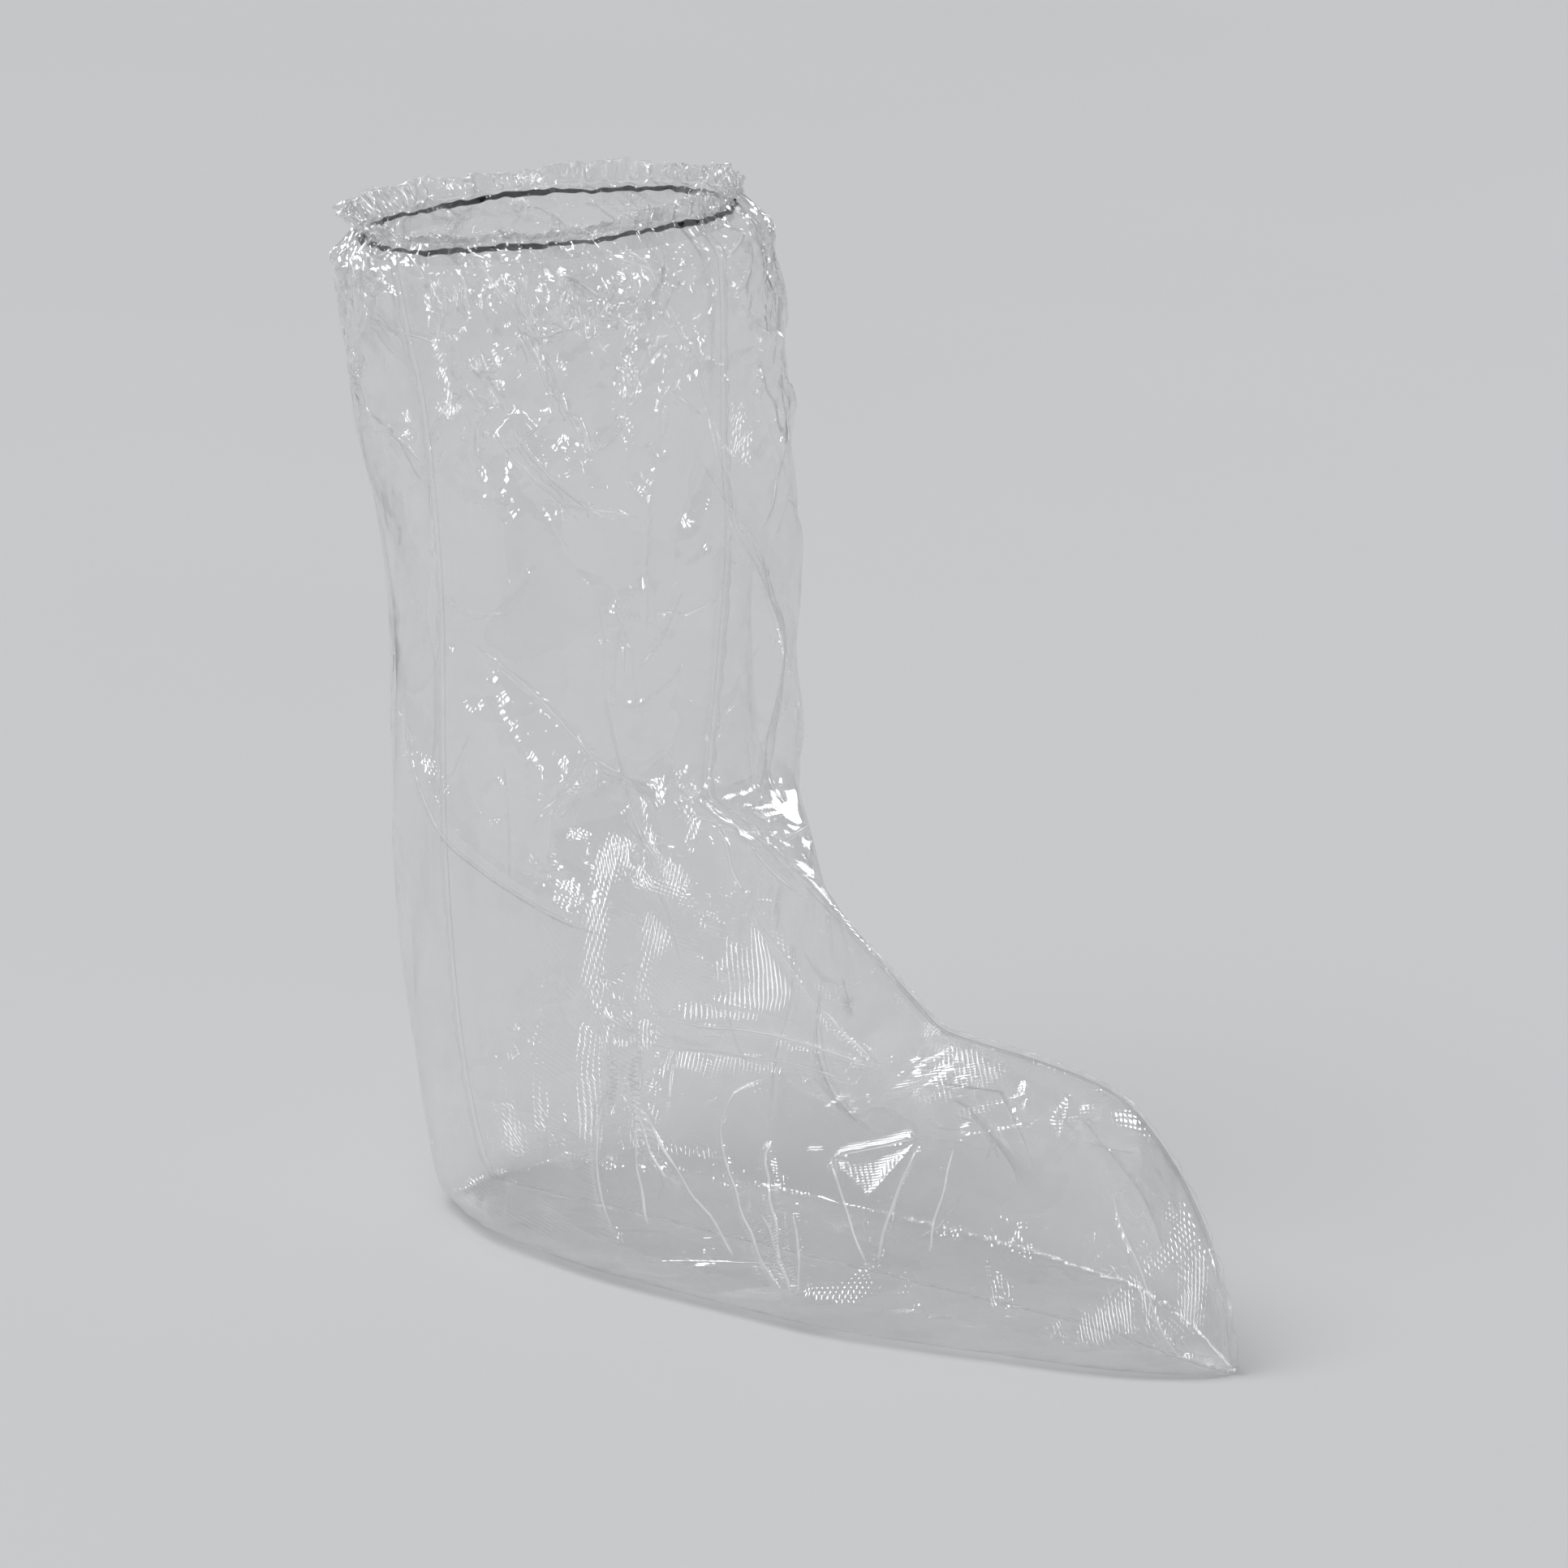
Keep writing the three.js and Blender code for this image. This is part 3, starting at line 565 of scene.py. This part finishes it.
def close_ends(piece):
    """Merge a tube's doubled points and turn its faces outwards."""
    select_only(piece)
    bpy.ops.object.mode_set(mode="EDIT")
    bpy.ops.mesh.select_all(action="SELECT")
    bpy.ops.mesh.remove_doubles(threshold=0.00001)
    bpy.ops.mesh.normals_make_consistent(inside=False)
    bpy.ops.object.mode_set(mode="OBJECT")
    piece.select_set(False)


# ---- The hem's elastic and ruffle ----
HEM_POINTS = 400  # on each panel's half of the hem


def hem_ring(count):
    """Points round the hem's top edge, the ways out and up there, and each place from 0 to 1."""
    hem = np.array([0.0])
    right = smooth_panel(RIGHT, hem, HEM_POINTS)[0][0]
    left = smooth_panel(LEFT, hem, HEM_POINTS)[0][0]
    edge = np.concatenate([right, left[::-1][1:]])
    even = np.linspace(0, 1, len(edge))
    ring = np.arange(count) / count
    points = np.stack([np.interp(ring, even, edge[:, axis]) for axis in range(3)], 1)
    front_x, front_z, back_x, back_z = sections_at(hem)[:4, 0]
    up = np.array([back_z - front_z, 0, front_x - back_x])
    up /= np.linalg.norm(up)
    run = np.roll(points, -1, 0) - np.roll(points, 1, 0)
    out = -np.cross(run, up)
    return points, out / np.linalg.norm(out, axis=1, keepdims=True), up, ring


def waves(ring, *parts):
    """A sum of waves round the hem, each given as its height, how many go round, and its start."""
    return sum(height * np.sin(FULL_TURN * count * ring + start) for height, count, start in parts)


ELASTIC_POINTS, ELASTIC_SIDES, ELASTIC_LENGTH = 720, 16, 430
ELASTIC_INSIDE, ELASTIC_BELOW = 2.1, 3.0  # from the hem's top edge
ELASTIC_HALF_WIDTH, ELASTIC_HALF_HEIGHT = 0.75, 0.9


def elastic_cord():
    """The black elastic in the hem's casing, a little uneven where the film bunches on it."""
    points, out, up, ring = hem_ring(ELASTIC_POINTS)
    sag = waves(ring, (0.6, 2, 0.6), (0.4, 7, 0), (0.22, 19, 0), (0.2, 47, 1), (0.12, 71, 0))
    sway = waves(ring, (0.3, 11, 2), (0.15, 43, 0))
    swell = 1 + waves(ring, (0.2, 5, 2), (0.14, 13, 1), (0.12, 37, 0), (0.08, 61, 2))
    middle = points + out * (sway - ELASTIC_INSIDE)[:, None] + up * (sag - ELASTIC_BELOW)[:, None]
    turn = FULL_TURN * np.arange(ELASTIC_SIDES) / ELASTIC_SIDES
    across, tall = ELASTIC_HALF_WIDTH * swell, ELASTIC_HALF_HEIGHT * swell
    grid = (middle[:, None] + out[:, None] * (across[:, None] * np.cos(turn))[..., None]
            + up * (tall[:, None] * np.sin(turn))[..., None])
    grid = np.concatenate([grid, grid[:1]])[:, ::-1]
    round_it = np.linspace(0, 6, ELASTIC_SIDES + 1)
    along_it = np.linspace(0, ELASTIC_LENGTH, ELASTIC_POINTS + 1)
    flat = np.stack(np.meshgrid(round_it, along_it), -1) * MM
    piece = grid_piece("hem_elastic_cord", (grid - HEM_MIDDLE) * MM, flat, closed=True)
    close_ends(piece)
    return piece


RUFFLE_POINTS, RUFFLE_LINES, RUFFLE_LENGTH = 1500, 30, 560
RUFFLE_PROFILE = np.array([  # out and up from the hem's top edge, in shares of the flare and the crest
    (0, 0), (0.1, 0.2), (0.35, 0.5), (0.75, 0.85), (0.95, 1.0), (0.8, 1.08), (0.45, 0.98), (0.1, 0.6),
    (-0.4, 0.15)])
RUFFLE_GATHERS = (  # how many go round, depth, and how far they lean
    (47, 0.9, 1), (68, 0.8, -1.5), (97, 0.6, 2), (131, 0.4, -2), (170, 0.25, 1.4))
SKIRT_INSIDE = 3.4  # the ruffle's turned edge hangs this far inside the hem's top edge
SKIRT_LINES = ((-1, 0), (-3.5, -0.3), (-6, -0.4), (-8.5, -0.3))  # how far down, and out


def ruffle():
    """The gathered film above the elastic, turned in over it and down behind it."""
    points, out, up, ring = hem_ring(RUFFLE_POINTS)
    low_place, high_place = (ring - 0.18) / 0.11, (ring - 0.42) / 0.09
    crest = 6.4 - 3.9 * np.exp(-(low_place**2)) + 2.2 * np.exp(-(high_place**2))
    crest = crest + waves(ring, (0.8, 6, 1), (0.6, 17, 2))
    flare = 3.2 + 2.2 * np.cos(FULL_TURN * (ring - 0.4)) + waves(ring, (0.8, 9, 0))
    steps = np.arange(len(RUFFLE_PROFILE))
    shares = np.linspace(0, len(RUFFLE_PROFILE) - 1, RUFFLE_LINES)
    reach = np.interp(shares, steps, RUFFLE_PROFILE[:, 0])
    rise = np.interp(shares, steps, RUFFLE_PROFILE[:, 1])
    starts = np.random.default_rng(GATHER_SEED).uniform(0, FULL_TURN, len(RUFFLE_GATHERS))
    lines = []
    for k, height in enumerate(np.linspace(0, 1, RUFFLE_LINES)):
        crumple = 0
        for (count, depth, lean), start in zip(RUFFLE_GATHERS, starts):
            turn = FULL_TURN * ring * count / 2 + start + 2.2 * lean * height
            crumple = crumple + depth * (1 - 2 * np.abs(np.sin(turn)) ** 0.7)
        loose = math.sin(math.pi * min(height * 1.25, 1)) ** 0.7
        push = flare * reach[k] + hem_pleats(ring, 5 * height) + 1.2 * crumple * loose
        lift = crest * rise[k] + 0.55 * loose * np.roll(crumple, 9)
        lines.append(points + out * push[:, None] + up * lift[:, None])
    for down, outwards in SKIRT_LINES:
        push = outwards - SKIRT_INSIDE + 0.4 * hem_pleats(ring, 4 - down)
        lines.append(points + out * push[:, None] + up * down)
    grid = np.array(lines)
    widths = np.linalg.norm(np.diff(grid, axis=0), axis=-1).mean(axis=1)
    lengths = np.concatenate([[0], np.cumsum(widths)])
    flat = np.stack(np.meshgrid(np.linspace(0, RUFFLE_LENGTH, RUFFLE_POINTS + 1), lengths), -1) * MM
    return grid_piece("hem_ruffle_film", (grid - HEM_MIDDLE) * MM, flat, closed=True, turned_over=True)


# ---- Materials ----
def new_material(name):
    material = bpy.data.materials.new(name)
    material.use_nodes = True
    material.node_tree.nodes.clear()
    return material, material.node_tree


def node(tree, kind, **settings):
    made = tree.nodes.new(kind)
    for name, value in settings.items():
        setattr(made, name, value)
    return made


def put(made, **values):
    for name, value in values.items():
        made.inputs[name.replace("_", " ")].default_value = value


def math_node(tree, operation, *values):
    made = node(tree, "ShaderNodeMath", operation=operation)
    for socket, value in zip(made.inputs, values):
        if isinstance(value, (int, float)):
            socket.default_value = value
        else:
            tree.links.new(value, socket)
    return made.outputs[0]


def texture(tree, kind, vector, settings=None, **values):
    """A texture that reads this vector."""
    made = node(tree, kind, **(settings or {}))
    put(made, **values)
    tree.links.new(vector, made.inputs["Vector"])
    return made


def vector_part(tree, vector, axis):
    made = node(tree, "ShaderNodeSeparateXYZ")
    tree.links.new(vector, made.inputs[0])
    return made.outputs[axis]


def shades(tree, share, first, second):
    """A colour between two."""
    made = node(tree, "ShaderNodeMix", data_type="RGBA")
    made.inputs[6].default_value, made.inputs[7].default_value = first, second
    tree.links.new(share, made.inputs[0])
    return made.outputs[2]


def surface(tree, shader):
    tree.links.new(shader.outputs[0], node(tree, "ShaderNodeOutputMaterial").inputs["Surface"])


def new_group(name, size_socket):
    """An empty group that turns the flat pattern and a size into a height."""
    group = bpy.data.node_groups.new(name, "ShaderNodeTree")
    group.interface.new_socket("Pattern", in_out="INPUT", socket_type="NodeSocketVector")
    group.interface.new_socket(size_socket, in_out="INPUT", socket_type="NodeSocketFloat")
    group.interface.new_socket("Height", in_out="OUTPUT", socket_type="NodeSocketFloat")
    return group, group.nodes.new("NodeGroupInput"), group.nodes.new("NodeGroupOutput")


def stepped(tree, value, low, high, first, last, kind="SMOOTHSTEP"):
    """A value from low to high turned into one from first to last."""
    made = node(tree, "ShaderNodeMapRange", interpolation_type=kind)
    put(made, From_Min=low, From_Max=high, To_Min=first, To_Max=last)
    tree.links.new(value, made.inputs["Value"])
    return made.outputs[0]


def emboss_group():
    """Film emboss: rows of small shallow diamond dimples on the flat pattern, as a height from 0 to 1."""
    tree, entry, leave = new_group("film_emboss", "Pitch")
    split = node(tree, "ShaderNodeSeparateXYZ")
    tree.links.new(entry.outputs["Pattern"], split.inputs[0])
    x = math_node(tree, "DIVIDE", split.outputs[0], entry.outputs["Pitch"])
    y = math_node(tree, "DIVIDE", split.outputs[1], entry.outputs["Pitch"])
    y = math_node(tree, "MULTIPLY", y, 0.62)
    squares = []
    for slant in ("ADD", "SUBTRACT"):
        place = math_node(tree, "FRACT", math_node(tree, slant, x, y))
        off = math_node(tree, "SUBTRACT", place, 0.5)
        squares.append(math_node(tree, "MULTIPLY", off, off))
    dimple = math_node(tree, "ADD", *squares)
    tree.links.new(math_node(tree, "MULTIPLY", dimple, 2.0), leave.inputs["Height"])
    return tree


EMBOSS = emboss_group()
FLAT_NOISE = {"noise_dimensions": "2D"}
FLAT_CELLS = {"voronoi_dimensions": "2D", "feature": "F1"}


def crumple_group():
    """Crumpled film: flat facets, each tilted its own way, on the flat pattern, as a height in metres."""
    tree, entry, leave = new_group("film_crumple", "Facet Size")
    finer = math_node(tree, "DIVIDE", 1, entry.outputs["Facet Size"])
    scaled = node(tree, "ShaderNodeVectorMath", operation="SCALE")
    tree.links.new(entry.outputs["Pattern"], scaled.inputs[0])
    tree.links.new(finer, scaled.inputs["Scale"])
    uneven = texture(tree, "ShaderNodeTexNoise", scaled.outputs[0], FLAT_NOISE, Scale=0.8, Detail=0)
    moved = node(tree, "ShaderNodeVectorMath", operation="MULTIPLY_ADD")
    moved.inputs[1].default_value = (1.4, 1.4, 0)
    tree.links.new(uneven.outputs["Color"], moved.inputs[0])
    tree.links.new(scaled.outputs[0], moved.inputs[2])
    cells = texture(tree, "ShaderNodeTexVoronoi", moved.outputs[0], FLAT_CELLS, Scale=1, Randomness=1)
    inside = node(tree, "ShaderNodeVectorMath", operation="SUBTRACT")
    tree.links.new(moved.outputs[0], inside.inputs[0])
    tree.links.new(cells.outputs["Position"], inside.inputs[1])
    tilt = node(tree, "ShaderNodeVectorMath", operation="SUBTRACT")
    tilt.inputs[1].default_value = (0.5, 0.5, 0.5)
    tree.links.new(cells.outputs["Color"], tilt.inputs[0])
    slope = node(tree, "ShaderNodeVectorMath", operation="DOT_PRODUCT")
    tree.links.new(inside.outputs[0], slope.inputs[0])
    tree.links.new(tilt.outputs[0], slope.inputs[1])
    height = math_node(tree, "MULTIPLY", slope.outputs["Value"], entry.outputs["Facet Size"])
    tree.links.new(height, leave.inputs["Height"])
    return tree


CRUMPLE = crumple_group()

# Places that the film's material changes at, in metres: the hem on the flat pattern, the leg's end on it,
# and the height of the sole in the frame.
CRUMPLED_BAND, LEG_BAND, SOLE_BAND = (-0.075, -0.01), (-0.3, -0.22), (-0.3565, -0.351)
CRUMPLE_SIZES = ((0.012, 1), (0.0052, 0.6))  # the size of its facets, and their share of the crinkle
RIDGE_WIDTH, RIDGE_HEIGHT = 1.6, 0.7  # the pinched ridge of a crease, in millimetres
LEG_EMBOSS = 0.45  # the emboss is shallower where the film is stretched on the leg
MILKY = 0.16  # how much more the haziest facets of a film hide


def film_crumple(tree, down, place, worn):
    """How crumpled the film is: near the hem, in worn patches and under the foot."""
    near_hem = stepped(tree, down, *CRUMPLED_BAND, 0.0, 1.0)
    patches = stepped(tree, worn, 0.5, 0.68, 0.03, 0.3)
    underfoot = stepped(tree, vector_part(tree, place, 2), *SOLE_BAND, 0.17, 0.0)
    crumpled = math_node(tree, "MAXIMUM", near_hem, patches)
    return math_node(tree, "MAXIMUM", crumpled, underfoot)


def film_relief(tree, pattern, crumpled, down, offset, strength, pitch, emboss, crinkle):
    """The height of the film's small crumples, its pinched creases and its emboss, in metres."""
    relief = 0.0
    for size, share in CRUMPLE_SIZES:
        tilted = node(tree, "ShaderNodeGroup", node_tree=CRUMPLE)
        tilted.inputs["Facet Size"].default_value = size
        tree.links.new(pattern, tilted.inputs["Pattern"])
        relief = math_node(tree, "MULTIPLY_ADD", tilted.outputs[0], share * crinkle, relief)
    relief = math_node(tree, "MULTIPLY", relief, crumpled)
    ridge = stepped(tree, offset, 0.0, RIDGE_WIDTH, 1.0, 0.0, "LINEAR")
    pinched = math_node(tree, "MULTIPLY", ridge, strength)
    relief = math_node(tree, "MULTIPLY_ADD", pinched, RIDGE_HEIGHT * MM, relief)
    dimples = node(tree, "ShaderNodeGroup", node_tree=EMBOSS)
    dimples.inputs["Pitch"].default_value = pitch
    tree.links.new(pattern, dimples.inputs["Pattern"])
    depth = stepped(tree, down, *LEG_BAND, emboss, LEG_EMBOSS * emboss)
    return math_node(tree, "MULTIPLY_ADD", dimples.outputs["Height"], depth, relief)


def film_milkiness(tree, pattern, worn):
    """How milky each of the film's large facets is, from 0 to 1."""
    bent = node(tree, "ShaderNodeVectorMath", operation="MULTIPLY_ADD")
    bent.inputs[1].default_value = (0.03, 0.03, 0)
    tree.links.new(worn, bent.inputs[0])
    tree.links.new(pattern, bent.inputs[2])
    panes = texture(tree, "ShaderNodeTexVoronoi", bent.outputs[0], FLAT_CELLS, Scale=24, Randomness=1)
    return math_node(tree, "POWER", panes.outputs["Color"], 2.0)


def film_material(name, tone, veil, edge, roughness, pitch, emboss, crinkle):
    """Clear film: it lets most light through, mirrors more at a glancing angle, carries the emboss, and
    is crumpled near the hem and whitened along its creases."""
    material, tree = new_material(name)
    pattern = node(tree, "ShaderNodeUVMap", uv_map="flat_pattern").outputs[0]
    place = node(tree, "ShaderNodeTexCoord").outputs["Object"]
    worn = texture(tree, "ShaderNodeTexNoise", place, Scale=34, Detail=2, Roughness=0.6)
    offset = node(tree, "ShaderNodeAttribute", attribute_name="crease_offset").outputs["Fac"]
    offset = math_node(tree, "ABSOLUTE", offset)
    strength = node(tree, "ShaderNodeAttribute", attribute_name="crease_strength").outputs["Fac"]
    line = stepped(tree, offset, 0.2, 0.8, 0.5, 0.0)
    whitened = math_node(tree, "MULTIPLY", line, strength)

    down = vector_part(tree, pattern, 1)
    crumpled = film_crumple(tree, down, place, worn.outputs[0])
    relief = film_relief(tree, pattern, crumpled, down, offset, strength, pitch, emboss, crinkle)
    bump = node(tree, "ShaderNodeBump")
    put(bump, Strength=1, Distance=1)
    tree.links.new(relief, bump.inputs["Height"])

    film = node(tree, "ShaderNodeBsdfPrincipled")
    put(film, Base_Color=tone, Metallic=0.55, IOR=1.5)
    gloss = stepped(tree, worn.outputs[0], 0.35, 0.7, roughness * 0.7, roughness * 1.6, "LINEAR")
    tree.links.new(math_node(tree, "ADD", gloss, whitened), film.inputs["Roughness"])
    tree.links.new(bump.outputs[0], film.inputs["Normal"])

    facing = node(tree, "ShaderNodeLayerWeight")
    put(facing, Blend=0.5)
    glancing = math_node(tree, "POWER", facing.outputs["Facing"], 2.8)
    haze = stepped(tree, worn.outputs[0], 0.4, 0.75, veil * 0.8, veil * 1.5, "LINEAR")
    milky = film_milkiness(tree, pattern, worn.outputs["Color"])
    share = math_node(tree, "MULTIPLY", glancing, edge)
    share = math_node(tree, "ADD", share, haze)
    share = math_node(tree, "MULTIPLY_ADD", milky, MILKY, share)
    share = math_node(tree, "ADD", share, whitened)
    share = math_node(tree, "MINIMUM", share, 0.95)
    clear = node(tree, "ShaderNodeBsdfTransparent")
    put(clear, Color=(0.988, 0.989, 0.99, 1))
    both = node(tree, "ShaderNodeMixShader")
    tree.links.new(share, both.inputs[0])
    tree.links.new(clear.outputs[0], both.inputs[1])
    tree.links.new(film.outputs[0], both.inputs[2])
    surface(tree, both)
    return material


def elastic_material():
    """Black elastic wound with thread: fine slanting ribs, and a slight dusty sheen on top of them."""
    material, tree = new_material("black_elastic_thread")
    pattern = node(tree, "ShaderNodeUVMap", uv_map="flat_pattern").outputs[0]
    slanting = {"wave_type": "BANDS", "bands_direction": "DIAGONAL"}
    ribs = texture(tree, "ShaderNodeTexWave", pattern, slanting,
                   Scale=260, Distortion=1.2, Detail=2, Detail_Scale=1.5)
    fluff = texture(tree, "ShaderNodeTexNoise", pattern, Scale=900, Detail=3)
    worn = math_node(tree, "MULTIPLY", ribs.outputs[1], fluff.outputs[0])
    shade = shades(tree, worn, (0.003, 0.003, 0.0035, 1), (0.018, 0.018, 0.02, 1))
    bump = node(tree, "ShaderNodeBump")
    put(bump, Strength=0.8, Distance=0.0002)
    tree.links.new(ribs.outputs[1], bump.inputs["Height"])
    thread = node(tree, "ShaderNodeBsdfPrincipled")
    put(thread, Roughness=0.72, IOR=1.5, Sheen_Weight=0.05, Specular_IOR_Level=0.25)
    tree.links.new(shade, thread.inputs["Base Color"])
    tree.links.new(bump.outputs[0], thread.inputs["Normal"])
    surface(tree, thread)
    return material


def studio_material():
    """Pale matt studio board with a faint mottle."""
    material, tree = new_material("pale_studio_board")
    place = node(tree, "ShaderNodeTexCoord").outputs["Object"]
    mottle = texture(tree, "ShaderNodeTexNoise", place, Scale=3, Detail=2)
    shade = shades(tree, mottle.outputs[0], (0.63, 0.635, 0.645, 1), (0.65, 0.655, 0.66, 1))
    board = node(tree, "ShaderNodeBsdfPrincipled")
    put(board, Roughness=0.8, Specular_IOR_Level=0.2)
    tree.links.new(shade, board.inputs["Base Color"])
    surface(tree, board)
    return material


CLEAR_FILM = film_material(
    "clear_embossed_film", (0.93, 0.933, 0.937, 1), veil=0.11, edge=0.8, roughness=0.055,
    pitch=1.9 * MM, emboss=0.06 * MM, crinkle=0.8)
RUFFLED_FILM = film_material(
    "clear_ruffled_film", (0.94, 0.943, 0.946, 1), veil=0.15, edge=0.75, roughness=0.09,
    pitch=1.9 * MM, emboss=0.04 * MM, crinkle=0.8)
WELDED_FILM = film_material(
    "milky_welded_film", (0.94, 0.943, 0.946, 1), veil=0.14, edge=0.6, roughness=0.16,
    pitch=1.0 * MM, emboss=0.05 * MM, crinkle=0.2)
BLACK_ELASTIC = elastic_material()


def finish_piece(piece, material, slot, *nodes):
    piece.data.materials.clear()
    piece.data.materials.append(material)
    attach(piece, "root")
    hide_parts(*nodes)
    return piece


# ---- Build ----
HEEL = PLACES[[row[0] for row in SECTION_ROWS].index("heel")]
BAG_TOP, BAG_TIP, HEEL_GAP = 0.004, 0.9995, 0.002  # where the welds start and end, along
WELD_INSIDE, WELD_FIN, SOLE_FIN = 0.9, 2.2, 2.4  # from the seam inwards and outwards
WELDS = [
    # name, seam, start and end, width outside the seam, seed
    ("front_weld", "front", BAG_TOP, BAG_TIP, WELD_FIN, 51),
    ("sole_weld", "back", HEEL + HEEL_GAP, BAG_TIP, SOLE_FIN, 61),
    ("back_weld", "back", BAG_TOP, HEEL - HEEL_GAP, WELD_FIN, 71),
]
for node_name, seam, start, end, fin, seed in WELDS:
    strip = weld_strip(node_name + "_strip", seam, start, end, WELD_INSIDE, fin, seed)
    finish_piece(strip, WELDED_FILM, "welded_film", node_name)
elastic = finish_piece(elastic_cord(), BLACK_ELASTIC, "black_elastic", "hem_elastic")
frill = finish_piece(ruffle(), RUFFLED_FILM, "clear_film", "hem_ruffle")
for side, name, node_name in ((RIGHT, "right_film", "right_panel"), (LEFT, "left_film", "left_panel")):
    points, flat, marks = film_panel(side)
    film = grid_piece(name, points, flat, turned_over=side == RIGHT)
    for mark, values in marks.items():
        film.data.attributes.new(mark, "FLOAT", "POINT").data.foreach_set("value", values.ravel())
    finish_piece(film, CLEAR_FILM, "clear_film", node_name)

# ---- Studio ----
FLOOR = -0.3577  # just under the film of the sole
BOARD_SIZE = 160
MIDDLE = Vector((0.08, 0.0, -0.18))
BOX_DISTANCE = 2.5
DAYLIGHT, BACKDROP = 0.3, 0.61  # how bright the air is round the boot, and as it is seen behind it
CAMERA_PLACE, CAMERA_AIM = (2.989, -3.396, 1.0015), (0.0784, 0.036, -0.1995)


def studio():
    """A wide pale board under the boot."""
    bpy.ops.object.select_all(action="DESELECT")
    bpy.ops.mesh.primitive_plane_add(size=BOARD_SIZE, location=(0, 0, FLOOR))
    board = bpy.context.object
    board.name = "studio_board"
    bpy.ops.object.transform_apply(location=True, rotation=True, scale=True)
    board.data.materials.append(studio_material())


def look_at(thing, aim):
    """Turn a lamp or camera to face a place."""
    thing.rotation_euler = (Vector(aim) - thing.location).to_track_quat("-Z", "Y").to_euler()


def aimed(name, light, azimuth, elevation, distance=BOX_DISTANCE):
    """A lamp at this bearing from the middle of the boot, aimed at it. The azimuth is 0 on the wearer's
    right and 90 at the toe."""
    turn, rise = math.radians(azimuth), math.radians(elevation)
    way = Vector((math.sin(turn) * math.cos(rise), -math.cos(turn) * math.cos(rise), math.sin(rise)))
    lamp = bpy.data.objects.new(name, light)
    bpy.context.scene.collection.objects.link(lamp)
    lamp.location = MIDDLE + way * distance
    look_at(lamp, MIDDLE)
    return lamp


def soft_sky(name, azimuth, elevation, strength, spread):
    """Wide soft light on the board and the boot, kept out of the film's reflections."""
    light = bpy.data.lights.new(name, "SUN")
    light.energy, light.angle = strength, math.radians(spread)
    aimed(name, light, azimuth, elevation, distance=3).visible_glossy = False


def glint_box(name, azimuth, elevation, width, height, brightness):
    """A softbox that is there for the film to mirror."""
    light = bpy.data.lights.new(name, "AREA")
    light.shape, light.size, light.size_y = "RECTANGLE", width, height
    light.energy = brightness * math.pi * width * height
    box = aimed(name, light, azimuth, elevation)
    box.visible_camera = box.visible_diffuse = False


def studio_air():
    """Even pale air round the boot, brighter where it is seen straight than where it lights the film."""
    world = bpy.data.worlds.new("studio_air")
    world.use_nodes = True
    tree = world.node_tree
    air = tree.nodes["Background"]
    air.inputs["Color"].default_value = (0.97, 0.985, 1.0, 1)
    seen = node(tree, "ShaderNodeLightPath").outputs["Is Camera Ray"]
    strength = math_node(tree, "MULTIPLY_ADD", seen, BACKDROP - DAYLIGHT, DAYLIGHT)
    tree.links.new(strength, air.inputs["Strength"])
    bpy.context.scene.world = world


def main_camera():
    """A long lens, a little above the boot, on the side of its toe and the wearer's right."""
    camera = bpy.data.objects.new("camera", bpy.data.cameras.new("camera"))
    bpy.context.scene.collection.objects.link(camera)
    camera.data.lens, camera.data.sensor_width = 302, 36
    camera.data.clip_end = 50
    camera.location = CAMERA_PLACE
    look_at(camera, CAMERA_AIM)
    bpy.context.scene.camera = camera


GLINT_BOXES = [
    # name, azimuth, elevation, width, height, brightness
    ("key_box", -90, 42, 0.55, 0.8, 18),
    ("arch_strip", -20, 13, 0.09, 0.8, 15),
    ("front_strip", 16, 11, 0.09, 0.9, 16),
    ("camera_box", 52, 37, 0.22, 0.22, 9),
    ("toe_strip", 68, 16, 0.11, 0.9, 14),
    ("toe_back_strip", 113, 18, 0.14, 0.9, 15),
    ("back_box", 172, 34, 0.35, 0.35, 15),
    ("heel_back_box", -140, 50, 0.35, 0.35, 15),
    ("heel_strip", -112, 16, 0.14, 0.9, 15),
    ("back_strip", -161, 16, 0.12, 0.9, 15),
    ("top_box", 0, 84, 0.35, 0.35, 15),
]
studio()
soft_sky("soft_sky", -25, 62, 2.1, 50)
for settings in GLINT_BOXES:
    glint_box(*settings)
studio_air()
main_camera()
bpy.context.scene.view_settings.view_transform = "Standard"
bounces = bpy.context.scene.cycles
bounces.max_bounces, bounces.diffuse_bounces, bounces.glossy_bounces = 4, 2, 2
bounces.transparent_max_bounces = 32
